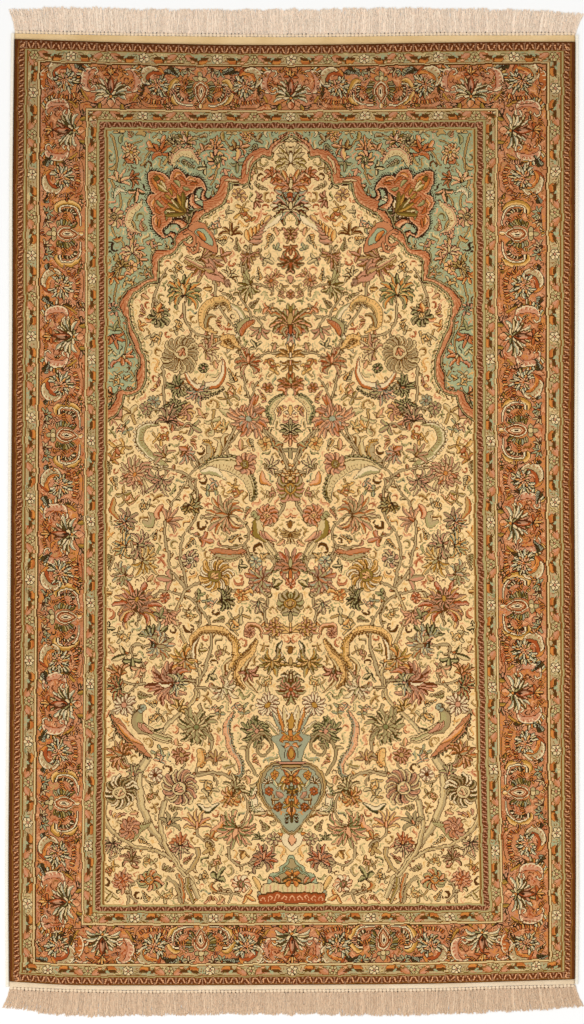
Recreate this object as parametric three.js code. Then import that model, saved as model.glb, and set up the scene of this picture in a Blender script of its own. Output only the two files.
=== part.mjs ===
// A hand-knotted silk rug, nominally 3 by 5 feet, lying flat with its pile upwards.
// Millimetres, +Z up. X runs across the rug and +Y towards the end with the arch of the design.
// The origin is the middle of the underside of the pile.
// A knotted body is edged by two overcast selvedges, and at each end by a flat-woven band
// and a row of knots from which the warps hang out as fringe.
import * as THREE from "three";

// Heights above the floor
const pileHeight = 6;
const pileRounding = 1.2;
const bandHeight = 2;
const knotHeight = 2.8;
const lockTipHeight = 1.2;

// The selvedge is a slightly flattened cord
const selvedgeWidth = 5.6;
const selvedgeHeight = 4.6;
const selvedgeSides = 10;
const selvedgeSteps = 36;

// The fringe
const locksPerEnd = 150;
const knotRowWidth = 4;
const knotReach = 2.6;
const neckReach = 5.5;
const lockGap = 0.8;
const neckGap = 2.2;

const seam = 0.3; // between neighbouring pieces
const edgePieces = 24; // straight pieces in each side of an outline

const silkPile = { color: 0xc9a06c, roughness: 0.62 };
const bandCloth = { color: 0xdcb878, roughness: 0.85 };
const selvedgeSilk = { color: 0xd8ceb0, roughness: 0.7 };
const fringeThread = { color: 0xdcc2a0, roughness: 0.9 };

// The sides of the pile, from the bottom end (v = 0) to the arch end (v = 1)
const sideStations = [
  { v: 0.0, left: -453.5, right: 452.0 },
  { v: 0.1, left: -454.3, right: 453.0 },
  { v: 0.25, left: -453.0, right: 452.5 },
  { v: 0.4, left: -451.0, right: 452.0 },
  { v: 0.55, left: -449.5, right: 450.5 },
  { v: 0.7, left: -448.0, right: 451.5 },
  { v: 0.85, left: -447.5, right: 452.0 },
  { v: 1.0, left: -445.0, right: 452.5 },
];

// The ends, from the left (u = 0) to the right (u = 1): where the pile stops, where the
// flat-woven band stops, and how far the fringe hangs past the row of knots
const topStations = [
  { u: 0.0, pile: 763.0, band: 772.5, fringe: 38 },
  { u: 0.1, pile: 760.0, band: 770.5, fringe: 42 },
  { u: 0.25, pile: 756.0, band: 768.3, fringe: 41 },
  { u: 0.4, pile: 753.5, band: 767.0, fringe: 42 },
  { u: 0.5, pile: 753.5, band: 766.5, fringe: 43 },
  { u: 0.6, pile: 754.5, band: 767.3, fringe: 43 },
  { u: 0.75, pile: 757.0, band: 769.0, fringe: 42 },
  { u: 0.9, pile: 758.5, band: 769.3, fringe: 39 },
  { u: 1.0, pile: 758.5, band: 769.5, fringe: 35 },
];
const bottomStations = [
  { u: 0.0, pile: 746.0, band: 755.0, fringe: 33 },
  { u: 0.1, pile: 751.5, band: 758.5, fringe: 41 },
  { u: 0.25, pile: 752.5, band: 760.2, fringe: 39 },
  { u: 0.4, pile: 752.0, band: 759.5, fringe: 38 },
  { u: 0.5, pile: 751.5, band: 759.0, fringe: 39 },
  { u: 0.6, pile: 751.0, band: 758.5, fringe: 40 },
  { u: 0.75, pile: 749.5, band: 757.0, fringe: 41 },
  { u: 0.9, pile: 745.5, band: 752.8, fringe: 39 },
  { u: 1.0, pile: 742.5, band: 751.0, fringe: 36 },
];

// How far the outermost locks splay outwards at their tips, and over what width this fades
const topSplay = { left: 8, right: 12, fade: 45 };
const bottomSplay = { left: 10, right: 12, fade: 45 };

// A smooth curve through one column of a table
function column(stations, place, name) {
  const curve = new THREE.CubicInterpolant(
    stations.map((row) => row[place]),
    stations.map((row) => row[name]),
    1,
  );
  return (at) => curve.evaluate(THREE.MathUtils.clamp(at, 0, 1))[0];
}

const leftAt = column(sideStations, "v", "left");
const rightAt = column(sideStations, "v", "right");

function endOfRug(stations, way, splay) {
  return {
    way, // +1 at the arch end and -1 at the bottom end
    splay,
    v: way > 0 ? 1 : 0,
    pileAt: column(stations, "u", "pile"),
    bandAt: column(stations, "u", "band"),
    fringeAt: column(stations, "u", "fringe"),
  };
}

const topEnd = endOfRug(topStations, 1, topSplay);
const bottomEnd = endOfRug(bottomStations, -1, bottomSplay);

function steps(count) {
  return Array.from({ length: count + 1 }, (_, i) => i / count);
}

function acrossAt(u, v) {
  return THREE.MathUtils.lerp(leftAt(v), rightAt(v), u);
}

function alongAt(u, v) {
  return THREE.MathUtils.lerp(-bottomEnd.pileAt(u), topEnd.pileAt(u), v);
}

function named(name, geometry, look) {
  const mesh = new THREE.Mesh(geometry, new THREE.MeshStandardMaterial(look));
  mesh.name = name;
  return mesh;
}

// The knotted body: its outline follows the four uneven edges
function pileGeometry() {
  const bottom = steps(edgePieces).map((u) => [u, 0]);
  const right = steps(edgePieces).map((v) => [1, v]);
  const top = steps(edgePieces).map((u) => [1 - u, 1]);
  const left = steps(edgePieces).map((v) => [0, 1 - v]);
  const corners = [bottom, right, top, left].flatMap((side) => side.slice(0, -1));
  const outline = corners.map(([u, v]) => new THREE.Vector2(acrossAt(u, v), alongAt(u, v)));
  const geometry = new THREE.ExtrudeGeometry(new THREE.Shape(outline), {
    depth: pileHeight - 2 * pileRounding,
    bevelThickness: pileRounding,
    bevelSize: pileRounding,
    bevelOffset: -pileRounding,
    bevelSegments: 2,
  });
  return geometry.translate(0, 0, pileRounding);
}

// A flat-woven band between the pile and the row of knots, from one selvedge to the other
function bandGeometry(end) {
  const x = (u) => acrossAt(u, end.v);
  const inner = steps(edgePieces).map(
    (u) => new THREE.Vector2(x(u), end.way * (end.pileAt(u) + seam)),
  );
  const outer = steps(edgePieces).map(
    (u) => new THREE.Vector2(x(u), end.way * end.bandAt(u)),
  );
  const outline = [...inner, ...outer.reverse()];
  return new THREE.ExtrudeGeometry(new THREE.Shape(outline), {
    depth: bandHeight,
    bevelEnabled: false,
  });
}

// The overcast edge cord, from the outside of one band to the outside of the other
function selvedgeGeometry(u) {
  const outwards = u === 0 ? -1 : 1;
  const edgeAt = u === 0 ? leftAt : rightAt;
  const offset = outwards * (seam + selvedgeWidth / 2);
  const path = new THREE.CatmullRomCurve3(
    steps(selvedgeSteps).map((v) => {
      const y = THREE.MathUtils.lerp(-bottomEnd.bandAt(u), topEnd.bandAt(u), v);
      return new THREE.Vector3(edgeAt(v) + offset, y, selvedgeHeight / 2);
    }),
  );
  // Along this path the section's first axis is upright and its second lies across the cord
  const section = steps(selvedgeSides)
    .slice(0, -1)
    .map((turn) => {
      const angle = 2 * Math.PI * (turn + 0.5 / selvedgeSides);
      return new THREE.Vector2(
        (selvedgeHeight / 2) * Math.cos(angle),
        (selvedgeWidth / 2) * Math.sin(angle),
      );
    });
  const lowest = Math.min(...section.map((point) => point.x));
  const geometry = new THREE.ExtrudeGeometry(new THREE.Shape(section), {
    steps: selvedgeSteps,
    extrudePath: path,
  });
  return geometry.translate(0, 0, -lowest - selvedgeHeight / 2);
}

// An even-looking but unequal wobble between -1 and 1 for lock number i
function wobble(i, kind) {
  const value = Math.sin(i * 12.9898 + kind * 78.233) * 43758.5453;
  return 2 * (value - Math.floor(value)) - 1;
}

// The row of knots and its locks as one comb: a narrow strip with flat tapering locks.
// out() is a distance past the band, measured away from the rug.
function fringeGeometry(end) {
  const first = acrossAt(0, end.v);
  const width = acrossAt(1, end.v) - first;
  const pitch = width / locksPerEnd;
  const point = (x, out) => {
    const u = (x - first) / width;
    return new THREE.Vector2(x, end.way * (end.bandAt(u) + seam + out));
  };
  const splayAt = (x) => {
    const { left, right, fade } = end.splay;
    const fromLeft = Math.exp(-(x - first) / fade);
    const fromRight = Math.exp(-(first + width - x) / fade);
    return right * fromRight - left * fromLeft;
  };
  const outline = [];
  for (let i = 0; i < locksPerEnd; i += 1) {
    const middle = first + (i + 0.5) * pitch;
    const hang = end.fringeAt((i + 0.5) / locksPerEnd) + 1.5 * wobble(i, end.way);
    const sway = 2 * Math.sin(i / 9 + end.way) + 0.2 * wobble(i, 3 * end.way);
    const reach = (x, share) => x + share * (splayAt(x) + sway);
    const leftSide = middle - pitch / 2;
    const rightSide = middle + pitch / 2;
    const tip = knotRowWidth + hang;
    outline.push(
      point(leftSide + neckGap / 2, knotRowWidth),
      point(leftSide + lockGap / 2, knotRowWidth + knotReach),
      point(reach(leftSide, 0.15) + lockGap / 2, knotRowWidth + neckReach),
      point(reach(leftSide, 1) + lockGap / 2, tip - 1.5),
      point(reach(rightSide, 1) - lockGap / 2, tip),
      point(reach(rightSide, 0.15) - lockGap / 2, knotRowWidth + neckReach),
      point(rightSide - lockGap / 2, knotRowWidth + knotReach),
      point(rightSide - neckGap / 2, knotRowWidth),
    );
  }
  const strip = steps(edgePieces).map((u) => point(first + width * (1 - u), 0));
  const geometry = new THREE.ExtrudeGeometry(new THREE.Shape([...outline, ...strip]), {
    depth: 1,
    bevelEnabled: false,
  });
  // The comb is one unit deep so far: its upper face is raised to its height over the knots,
  // from where it falls towards the tips
  const position = geometry.getAttribute("position");
  for (let i = 0; i < position.count; i += 1) {
    const u = (position.getX(i) - first) / width;
    const out = end.way * position.getY(i) - end.bandAt(u) - seam - knotRowWidth;
    const share = THREE.MathUtils.clamp((out - neckReach) / end.fringeAt(u), 0, 1);
    const height = THREE.MathUtils.lerp(knotHeight, lockTipHeight, share);
    position.setZ(i, position.getZ(i) * height);
  }
  return geometry;
}

const rug = new THREE.Group();
rug.add(
  named("pile_body", pileGeometry(), silkPile),
  named("end_band_top", bandGeometry(topEnd), bandCloth),
  named("end_band_bottom", bandGeometry(bottomEnd), bandCloth),
  named("selvedge_left", selvedgeGeometry(0), selvedgeSilk),
  named("selvedge_right", selvedgeGeometry(1), selvedgeSilk),
  named("fringe_top", fringeGeometry(topEnd), fringeThread),
  named("fringe_bottom", fringeGeometry(bottomEnd), fringeThread),
);

export default rug;
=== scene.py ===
import math
import bpy
import numpy as np
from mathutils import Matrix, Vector


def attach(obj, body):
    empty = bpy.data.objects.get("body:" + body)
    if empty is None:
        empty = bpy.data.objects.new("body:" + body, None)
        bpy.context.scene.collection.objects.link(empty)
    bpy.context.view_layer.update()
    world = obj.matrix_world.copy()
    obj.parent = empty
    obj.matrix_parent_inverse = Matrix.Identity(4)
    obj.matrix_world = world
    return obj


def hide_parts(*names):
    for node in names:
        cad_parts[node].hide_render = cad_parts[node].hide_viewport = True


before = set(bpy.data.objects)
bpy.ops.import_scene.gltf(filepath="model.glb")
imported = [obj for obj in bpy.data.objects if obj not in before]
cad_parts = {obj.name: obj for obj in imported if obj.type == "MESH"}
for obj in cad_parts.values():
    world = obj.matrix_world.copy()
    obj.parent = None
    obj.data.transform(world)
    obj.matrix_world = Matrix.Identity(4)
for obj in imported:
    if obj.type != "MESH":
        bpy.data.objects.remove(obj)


# The silks, as numbered on the chart, and their dyed colours
silks = {
    "cream": "F2CB8E", "honey": "E4B068", "ivory": "EACD9C", "peach": "E2A270",
    "ink": "341A02", "bark": "5C3408", "maroon": "66300A", "umber": "86541C", "brick": "A44C1E",
    "rust": "BA662C", "salmon": "C27C4E", "orange": "D0833A", "rose": "CB8C66",
    "mustard": "B98434", "olive": "8E702A", "moss": "6A5218", "sage": "AE9C64",
    "teal": "A3A67C", "jade": "7C7844", "steel": "A09C7A", "slate": "483E16",
    "mauve": "A67A58", "tan": "BC9456", "sand": "DABA80", "grey": "A88E5E", "khaki": "B89C6C",
}
number = {name: i for i, name in enumerate(silks)}
# The pale silk inside a petal whose edge has the darker one
tint = {
    "slate": "grey", "steel": "sage", "jade": "sage", "teal": "sand", "mauve": "rose", "grey": "sand",
    "umber": "tan", "maroon": "rose", "brick": "salmon", "rust": "peach", "orange": "honey",
    "olive": "khaki", "moss": "sage", "mustard": "honey", "tan": "sand", "rose": "peach",
    "sage": "sand", "ivory": "ivory", "salmon": "peach",
}
# The outline of a flower of each silk; for the others it is bark, or that of the ground
outlineOf = {"slate": "ink", "steel": "ink", "jade": "ink", "teal": "bark", "rust": "maroon",
             "brick": "maroon", "moss": "ink", "grey": "ink"}

chart = {
    "columns": 712, "rows": 1188,      # knots across and along
    "left": -450.0, "right": 450.0,    # mm on the rug
    "bottom": -751.0, "top": 757.0,
}


def table(text):
    # One entry a line or to a semicolon: words and numbers, then any points as x,y
    entries = []
    for line in text.replace(";", "\n").strip().split("\n"):
        entry, points = [], []
        for word in line.split():
            values = [part if part.isalpha() else float(part) if "." in part else int(part)
                      for part in word.split(",")]
            if len(values) > 1:
                points.append(tuple(values))
            else:
                entry += values
        entries.append((*entry, points) if entry and points else points or tuple(entry))
    return entries


def smooth(points, pieces=5, closed=False):
    # Catmull-Rom curve through the points
    p = np.asarray(points, float)
    if closed:
        p = np.vstack([p[-1:], p, p[:2]])
    else:
        p = np.vstack([2 * p[0] - p[1], p, 2 * p[-1] - p[-2]])
    t = np.linspace(0, 1, pieces, endpoint=False)[:, None]
    spans = []
    for a, b, c, d in zip(p, p[1:], p[2:], p[3:]):
        spans.append(0.5 * (2 * b + (c - a) * t + (2 * a - 5 * b + 4 * c - d) * t * t
                            + (3 * b - a - 3 * c + d) * t ** 3))
    if not closed:
        spans.append(p[-2:-1])
    return np.vstack(spans)


def heading(turn):
    # 0 points along the rug, 90 to its right
    return np.array([math.sin(math.radians(turn)), math.cos(math.radians(turn))])


def unlike(i, kind=0.0):
    # an uneven number between -1 and 1, the same each time
    value = math.sin(i * 12.9898 + kind * 7.8233 + 4.1) * 43758.5453
    return 2 * (value - math.floor(value)) - 1


def widen(mask, knots):
    # the mask and so many knots round it
    for _ in range(knots):
        wider = mask.copy()
        wider[1:] |= mask[:-1]
        wider[:-1] |= mask[1:]
        wider[:, 1:] |= mask[:, :-1]
        wider[:, :-1] |= mask[:, 1:]
        mask = wider
    return mask


class Cartoon:
    # The knot chart that the rug is tied from, painted in rug millimetres

    def __init__(self, columns, rows, left, right, bottom, top):
        self.knots = np.zeros((rows, columns), np.int64)
        self.limit = None      # where painting is allowed
        self.outline = "bark"
        self.soft = True       # pale petals with an edge of their own silk
        self.origin = np.array([left, bottom])
        self.knot = np.array([(right - left) / columns, (top - bottom) / rows])
        self.xs = left + (np.arange(columns) + 0.5) * self.knot[0]
        self.ys = bottom + (np.arange(rows) + 0.5) * self.knot[1]

    def window(self, low, high):
        rows, columns = self.knots.shape
        a = np.floor((low - self.origin) / self.knot).astype(int) - 2
        b = np.ceil((high - self.origin) / self.knot).astype(int) + 2
        return (slice(max(a[1], 0), max(min(b[1], rows), 0)),
                slice(max(a[0], 0), max(min(b[0], columns), 0)))

    def numberOf(self, silk):
        return number[self.outline if silk == "line" else silk]

    def paint(self, part, mask, silk, edge=None):
        if not mask.size:
            return
        ring = widen(mask, 1) & ~mask if edge else None
        allowed = np.ones_like(mask) if self.limit is None else self.limit[part]
        if edge:
            self.knots[part][ring & allowed] = self.numberOf(edge)
        if silk:
            self.knots[part][mask & allowed] = self.numberOf(silk)

    def grid(self, part):
        return self.xs[part[1]][None, :, None], self.ys[part[0]][:, None, None]

    def inside(self, points):
        p = np.asarray(points, float)
        part = self.window(p.min(0), p.max(0))
        x, y = self.grid(part)
        a, b = p, np.roll(p, -1, 0)
        rise = np.where(a[:, 1] == b[:, 1], 1e-9, b[:, 1] - a[:, 1])
        crossed = (a[:, 1] > y) != (b[:, 1] > y)
        reach = a[:, 0] + (y - a[:, 1]) * (b[:, 0] - a[:, 0]) / rise
        return part, (crossed & (x < reach)).sum(2) % 2 == 1

    def gap(self, points, width):
        # how far each knot near a line of points is from it
        p = np.asarray(points, float)
        part = self.window(p.min(0) - width, p.max(0) + width)
        x, y = self.grid(part)
        a, d = p[:-1], np.diff(p, axis=0)
        along = ((x - a[:, 0]) * d[:, 0] + (y - a[:, 1]) * d[:, 1]) / np.maximum((d ** 2).sum(1), 1e-9)
        along = along.clip(0, 1)
        return part, np.hypot(x - a[:, 0] - along * d[:, 0], y - a[:, 1] - along * d[:, 1]).min(2)

    def shape(self, points, silk, edge="line"):
        self.paint(*self.inside(points), silk, edge)

    def line(self, points, width, silk, edge=None):
        part, gap = self.gap(points, width)
        self.paint(part, gap <= width / 2, silk, edge)

    def disc(self, x, y, radius, silk, edge="line"):
        turns = np.linspace(0, 2 * math.pi, 17)[:-1]
        self.shape(np.stack([x + radius * np.cos(turns), y + radius * np.sin(turns)], 1), silk, edge)

    def blade(self, spine, width, silk, half=None, edge="line", belly=0.45, teeth=0, vein=None, stem=False):
        # A leaf along a spine: pointed at both ends, or a stem that only thins out
        s = smooth(spine)
        step = np.hypot(*np.diff(s, axis=0).T)
        t = np.concatenate([[0], np.cumsum(step)]) / step.sum()
        tangent = np.gradient(s, axis=0)
        tangent /= np.maximum(np.hypot(*tangent.T), 1e-9)[:, None]
        side = np.stack([-tangent[:, 1], tangent[:, 0]], 1)
        if stem:
            reach = width / 2 * (1 - 0.5 * t)
        else:
            a, b = 1.6 * belly, 1.6 * (1 - belly)
            reach = width / 2 * t ** a * (1 - t).clip(0) ** b / (belly ** a * (1 - belly) ** b)
        outer = -1 if np.cross(tangent[1], tangent[-2]) > 0 else 1
        left = s + side * reach[:, None]
        right = s - side * reach[:, None]
        count = int(step.sum() / 4.4) if teeth else 0
        along = [int((k + 0.8) / (count + 0.6) * (len(s) - 1)) for k in range(count)]
        for i in along:
            # a comb of short strokes on the outside of the bend
            foot = s[i] + outer * side[i] * reach[i] * 0.8
            way = tangent[i] * 0.6 + outer * side[i] * 0.8
            self.leaf(*foot, 4.4 + reach[i] * 0.35, math.degrees(math.atan2(way[0], way[1])), 0.55,
                      half or silk, None)
        main = silk
        if self.soft and not stem:
            half, main = half or silk, tint.get(silk, silk)
        self.shape(np.vstack([left, right[::-1]]), main, edge)
        if half and width > 2.4 and count:
            # a coloured back to the comb, and small cuts inside
            back = s + outer * side * (reach * 0.62)[:, None]
            self.line(back[2:-2], 1.7, half)
            for i in along[1:-1]:
                foot = s[i] - outer * side[i] * reach[i] * 0.75
                self.line([foot, foot + outer * side[i] * reach[i] * 0.6], 0.9, "umber")
        elif half and width > 2.4:
            inner = s - side * (reach * (0.2 if self.soft else 0.0))[:, None]
            self.paint(*self.inside(np.vstack([inner, right[::-1]])), half)
        if vein:
            self.line(s[len(s) // 8: -len(s) // 6], 1.0, vein)

    def ribbed(self, spine, width, silk, rib):
        # a curved leaf with a pale rim on its outer side, and fine ribs that run in from it
        step = 3.3
        self.blade(spine, width, silk, None, belly=0.5)
        s = smooth(spine, 8)
        run = np.concatenate([[0], np.cumsum(np.hypot(*np.diff(s, axis=0).T))])
        way = np.gradient(s, axis=0)
        way /= np.hypot(*way.T)[:, None]
        side = np.stack([-way[:, 1], way[:, 0]], 1) * (-1 if np.cross(way[0], way[-1]) > 0 else 1)
        reach = width / 2 * np.sin(math.pi * run / run[-1]).clip(0)[:, None] ** 0.8
        rim = s + side * (reach - 1.2)
        for at in np.arange(step, run[-1] - step * 0.7, step):
            i = int(np.searchsorted(run, at))
            self.line([rim[i], rim[i] - side[i] * reach[i] * 0.9 + way[i] * 1.6], 1.0,
                      rib if int(at / step) % 2 else "brick")
        self.line(rim[3:-3], 1.9, rib)

    def leaf(self, x, y, length, turn, width=0.34, silk="sage", half=None, edge="line", bend=0,
             belly=0.45, teeth=0, vein=None, hook=1.0):
        # bend turns the leaf by so many degrees, most of it near the tip where hook is above 1
        pieces = 5
        point = np.array([x, y], float)
        spine = [point]
        for i in range(pieces):
            point = point + heading(turn + bend * ((i + 0.5) / pieces) ** hook) * length / pieces
            spine.append(point)
        self.blade(spine, width * length, silk, half, edge, belly, teeth, vein)
        return spine[-1]

    def petals(self, x, y, turn, spread, count, length, width, silk, half=None, bend=0, hook=1.7,
               belly=0.62, start=0.0, uneven=0.12, others=None):
        # Petals round a point, no two quite alike, the middle one on top
        whole = spread == 360
        if self.soft and spread > 100 and length > 11:
            count = max(count, round(0.74 * length * spread / 360))
            width = min(width, 2.8 + 0.08 * length)
        shares = [i / count if whole else i / max(count - 1, 1) - 0.5 for i in range(count)]
        for i in sorted(range(count), key=lambda i: 0 if whole else -abs(shares[i])):
            angle = turn + shares[i] * spread + 4 * unlike(i, x)
            share = 1 if whole else 1.06 - 0.28 * abs(shares[i])
            long = length * (1 + uneven * unlike(i, y)) * share - start
            if self.soft and i % 3 == 1 and count > 8:
                long *= 0.76
            sx, sy = np.array([x, y]) + heading(angle) * start
            look = others if others and i % 2 else (silk, half)
            vein = (look[1] or "umber") if width > 4.4 and self.soft else None
            if self.soft and others and i % 5 == 3:
                look = (look[1] or silk, look[0])
            self.leaf(sx, sy, long, angle, width / long, *look, bend=bend * (1 if whole else 2 * shares[i]),
                      belly=belly, vein=vein, hook=hook)


# The flowers. Each is set by its middle, its size in mm and the way it points.

def daisy(c, x, y, size, turn, petal="ivory", half=None, eye="mustard", count=7):
    c.petals(x, y, turn, 360, count, size, 4.4 * size / count, petal, half, 25, 1.5, 0.7, 0.16 * size, 0.06)
    c.disc(x, y, 0.22 * size, eye)


def star(c, x, y, size, turn, petal="mauve", half="rust", eye="maroon", count=11):
    c.petals(x, y, turn, 360, count, size, 3.9 * size / count, petal, half, 45, 1.6, 0.66, 0.08 * size, 0.2,
             (half, petal))
    c.petals(x, y, turn + 180 / count, 360, count - 3, 0.6 * size, 2.6 * size / count, half, petal, -35,
             uneven=0.2, others=(petal, eye))
    c.disc(x, y, 0.13 * size, eye)


def palmette(c, x, y, size, turn, outer="grey", half="slate", inner="rust", core="ivory", count=11,
             spread=250):
    bx, by = np.array([x, y]) - heading(turn) * 0.4 * size
    for lean in (-1, 1):
        c.leaf(bx, by, 0.9 * size, turn + lean * 118, 0.26, half or outer, outer, bend=-lean * 110,
               belly=0.6, hook=1.5)
    c.petals(bx, by, turn, spread, count, 1.32 * size, 3.6 * size / count, outer, half, 110, 2.4, 0.66,
             others=(half, inner))
    c.petals(bx, by, turn, 170, 5, 0.82 * size, 0.2 * size, inner, half, 50)
    c.leaf(bx, by, 0.72 * size, turn, 0.36, core, inner, belly=0.5)


def rose(c, x, y, size, turn, outer="olive", half="grey", inner="sand", core="brick", count=11):
    count = max(count, round(0.62 * size))
    for i in range(count):
        angle = turn + 360 * i / count + 5 * unlike(i, x)
        foot = np.array([x, y]) + heading(angle) * 0.26 * size
        tip = c.leaf(*foot, 0.86 * size * (1 + 0.1 * unlike(i, y)), angle - 25, 0.36 * min(1.0, 12 / count),
                     half if i % 3 == 0 else outer,
                     half, bend=110, belly=0.66, hook=1.5, vein="umber" if count > 14 else None)
        if size > 13:
            c.disc(*(tip - heading(angle) * 0.08 * size), 1.0, "line", None)
    ox, oy = np.array([x, y]) - heading(turn) * 0.1 * size
    c.disc(ox, oy, 0.38 * size, inner)
    c.petals(*(np.array([ox, oy]) - heading(turn) * 0.28 * size), turn, 60, 3, 0.5 * size, 0.13 * size,
             core, "peach")


def lily(c, x, y, size, turn, petal="mauve", half="maroon", core="ivory", count=5):
    bx, by = np.array([x, y]) - heading(turn) * 0.5 * size
    c.petals(bx, by, turn, 118, count, 1.4 * size, 1.5 * size / count, petal, half, 85, 1.9, 0.6,
             others=(half, petal) if count > 5 else None)
    c.leaf(bx, by, 0.55 * size, turn, 0.4, core)


def spiky(c, x, y, size, turn, petal="steel", half="mauve", core="rust", count=11):
    bx, by = np.array([x, y]) - heading(turn) * 0.5 * size
    c.petals(bx, by, turn, 205, count, 1.5 * size, 2.9 * size / count, petal, half, 90, 2.4, 0.62,
             uneven=0.2, others=(half, petal))
    c.petals(bx, by, turn, 110, 3, 0.85 * size, 0.2 * size, half, petal, 30)
    c.leaf(bx, by, 0.55 * size, turn, 0.42, core, half, belly=0.55)


def sprig(c, x, y, size, turn, petal="grey", half=None):
    bx, by = np.array([x, y]) - heading(turn) * 0.5 * size
    for share in (-0.5, 0.5, 0):
        c.leaf(bx, by, (1.3 - 0.5 * abs(share)) * size, turn + share * 100, 0.32, petal, half,
               bend=share * 150, belly=0.55, hook=1.6)


def frond(c, x, y, size, turn, petal="grey", half="slate"):
    # a deeply cut leaf
    point, way, bend = np.array([x, y]) - heading(turn) * 0.9 * size, turn, 24 * unlike(round(x), y)
    for k in range(5):
        for lean in (-1, 1):
            c.leaf(*point, (0.78 - 0.1 * k) * size, way + lean * (62 - 5 * k), 0.36,
                   petal if lean < 0 else half or petal, None, bend=-lean * 25, belly=0.55)
        way += bend / 5
        point = point + heading(way) * 0.32 * size
    c.leaf(*point, 0.6 * size, way, 0.5, petal, half)
    c.line([np.array([x, y]) - heading(turn) * 0.9 * size, point], 1.1, "line")


def bud(c, x, y, size, turn, petal="rust", half="tan"):
    bx, by = np.array([x, y]) - heading(turn) * 0.5 * size
    for lean in (-1, 1):
        c.leaf(bx, by, 0.9 * size, turn + lean * 35, 0.26, half, None, bend=lean * 80, hook=1.6)
    c.leaf(bx, by, 1.25 * size, turn, 0.4, petal, half, belly=0.5)


def comma(c, x, y, size, turn, petal="orange", half=None):
    bx, by = np.array([x, y]) - heading(turn + 45) * 0.5 * size
    c.leaf(bx, by, 1.35 * size, turn - 15, 0.32, petal, half, bend=130, belly=0.6, hook=1.4)


def crescent(c, x, y, size, turn, petal="olive", half=None):
    bx, by = np.array([x, y]) - heading(turn + 60) * 0.7 * size
    c.leaf(bx, by, 2.2 * size, turn - 20, 0.22, petal, half, bend=170, belly=0.5, teeth=1)


def spray(c, x, y, size, turn, petal="grey", half="orange"):
    # a curling twig with leaves and a flower at its end
    ahead, aside = heading(turn), heading(turn + 90)
    points = [(-1.0, -0.35), (-0.55, 0.1), (0.0, 0.28), (0.5, 0.05), (0.55, -0.4)]
    spine = [np.array([x, y]) + size * (a * ahead + b * aside) for a, b in points]
    c.blade(spine, 0.13 * size, "tan", None, "bark", stem=True)
    for i, lean, silk in ((1, -55, petal), (2, -50, half), (1, 70, petal), (2, 75, petal)):
        way = spine[i + 1] - spine[i]
        angle = math.degrees(math.atan2(way[0], way[1]))
        c.leaf(*spine[i], 0.62 * size, angle + lean, 0.4, silk, None, bend=70 if lean > 60 else -70,
               belly=0.6, hook=1.5)
    c.petals(*spine[-1], turn + 165, 130, 3, 0.6 * size, 0.24 * size, half, petal, bend=50, belly=0.6)


# Small leaves without an outline, which fill the ground

def tendril(c, x, y, size, turn, petal="tan", half=None):
    ahead, aside = heading(turn), heading(turn + 90)
    points = [(-0.7, 0.3), (-0.56, -0.06), (-0.2, -0.2), (0.14, 0.08), (0.4, 0.26), (0.68, 0.0)]
    spine = np.array([np.array([x, y]) + size * (a * ahead + b * aside) for a, b in points])
    if size > 9:
        c.blade(spine + (0.9, -0.9), 0.24 * size, outlineOf.get(petal, "bark"),
                outlineOf.get(petal, "bark"), None, belly=0.55)
    c.blade(spine, 0.24 * size, petal, petal, None, belly=0.55)
    c.leaf(*spine[2], 0.5 * size, turn + 60, 0.36, petal, petal, None, bend=-80, hook=1.5)
    if size > 13:
        c.leaf(*spine[3], 0.45 * size, turn - 100, 0.36, petal, petal, None, bend=80, hook=1.5)


def hook(c, x, y, size, turn, petal="ink", half=None):
    bx, by = np.array([x, y]) - heading(turn + 45) * 0.55 * size
    if size > 9:
        c.leaf(bx + 0.9, by - 0.9, 1.5 * size, turn - 30, 0.17, "bark", "bark", None, bend=190, belly=0.6,
               hook=1.4)
    c.leaf(bx, by, 1.5 * size, turn - 30, 0.17, petal, petal, None, bend=190, belly=0.6, hook=1.4)
    for lean, share in ((110, 0.5), (35, 0.42)):
        c.leaf(bx, by, share * size, turn + lean, 0.4, petal, None, None, bend=-70, belly=0.6)


def leaflet(c, x, y, size, turn, petal="orange", half=None):
    bx, by = np.array([x, y]) - heading(turn) * 0.6 * size
    shade = outlineOf.get(petal, "bark")
    for shift, silk in ((0.9, shade), (0.0, petal)) if size > 9 else ((0.0, petal),):
        for out, lean, share, wide, bend in ((0.4, 62, 0.6, 0.3, 90), (0.3, -60, 0.66, 0.3, -90),
                                             (0.75, 50, 0.4, 0.34, 90), (0.0, -15, 1.4, 0.2, 90)):
            foot = np.array([bx + shift, by - shift]) + heading(turn - 15) * out * size
            c.leaf(*foot, share * size, turn + lean, wide, silk, silk, None, bend=bend, belly=0.6, hook=1.6)


def fan(c, x, y, size, turn, petal="orange", half="rust"):
    # a curled comb of narrow leaves
    ahead, aside = heading(turn), heading(turn + 90)
    for k in range(5):
        share = k / 2 - 1
        foot = np.array([x, y]) + size * (0.5 * share * aside - 0.35 * (1 - share * share) * ahead)
        c.leaf(*foot, size * (0.95 - 0.15 * abs(share)), turn + 38 * share + 20, 0.26, (petal, half)[k % 2],
               None, bend=55, belly=0.6, hook=1.5)


def speck(c, x, y, size, turn, petal="umber", half=None):
    bx, by = np.array([x, y]) - heading(turn + 20) * 0.5 * size
    c.leaf(bx, by, 1.1 * size, turn, 0.3, petal, None, None, bend=60)


kinds = {draw.__name__: draw for draw in (daisy, star, palmette, rose, lily, spiky, sprig, frond, bud,
                                          comma, crescent, tendril, hook, leaflet, speck, spray, fan)}


field = {"side": 154.0, "top": 141.0, "bottom": 129.5}   # mm of border round it


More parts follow.
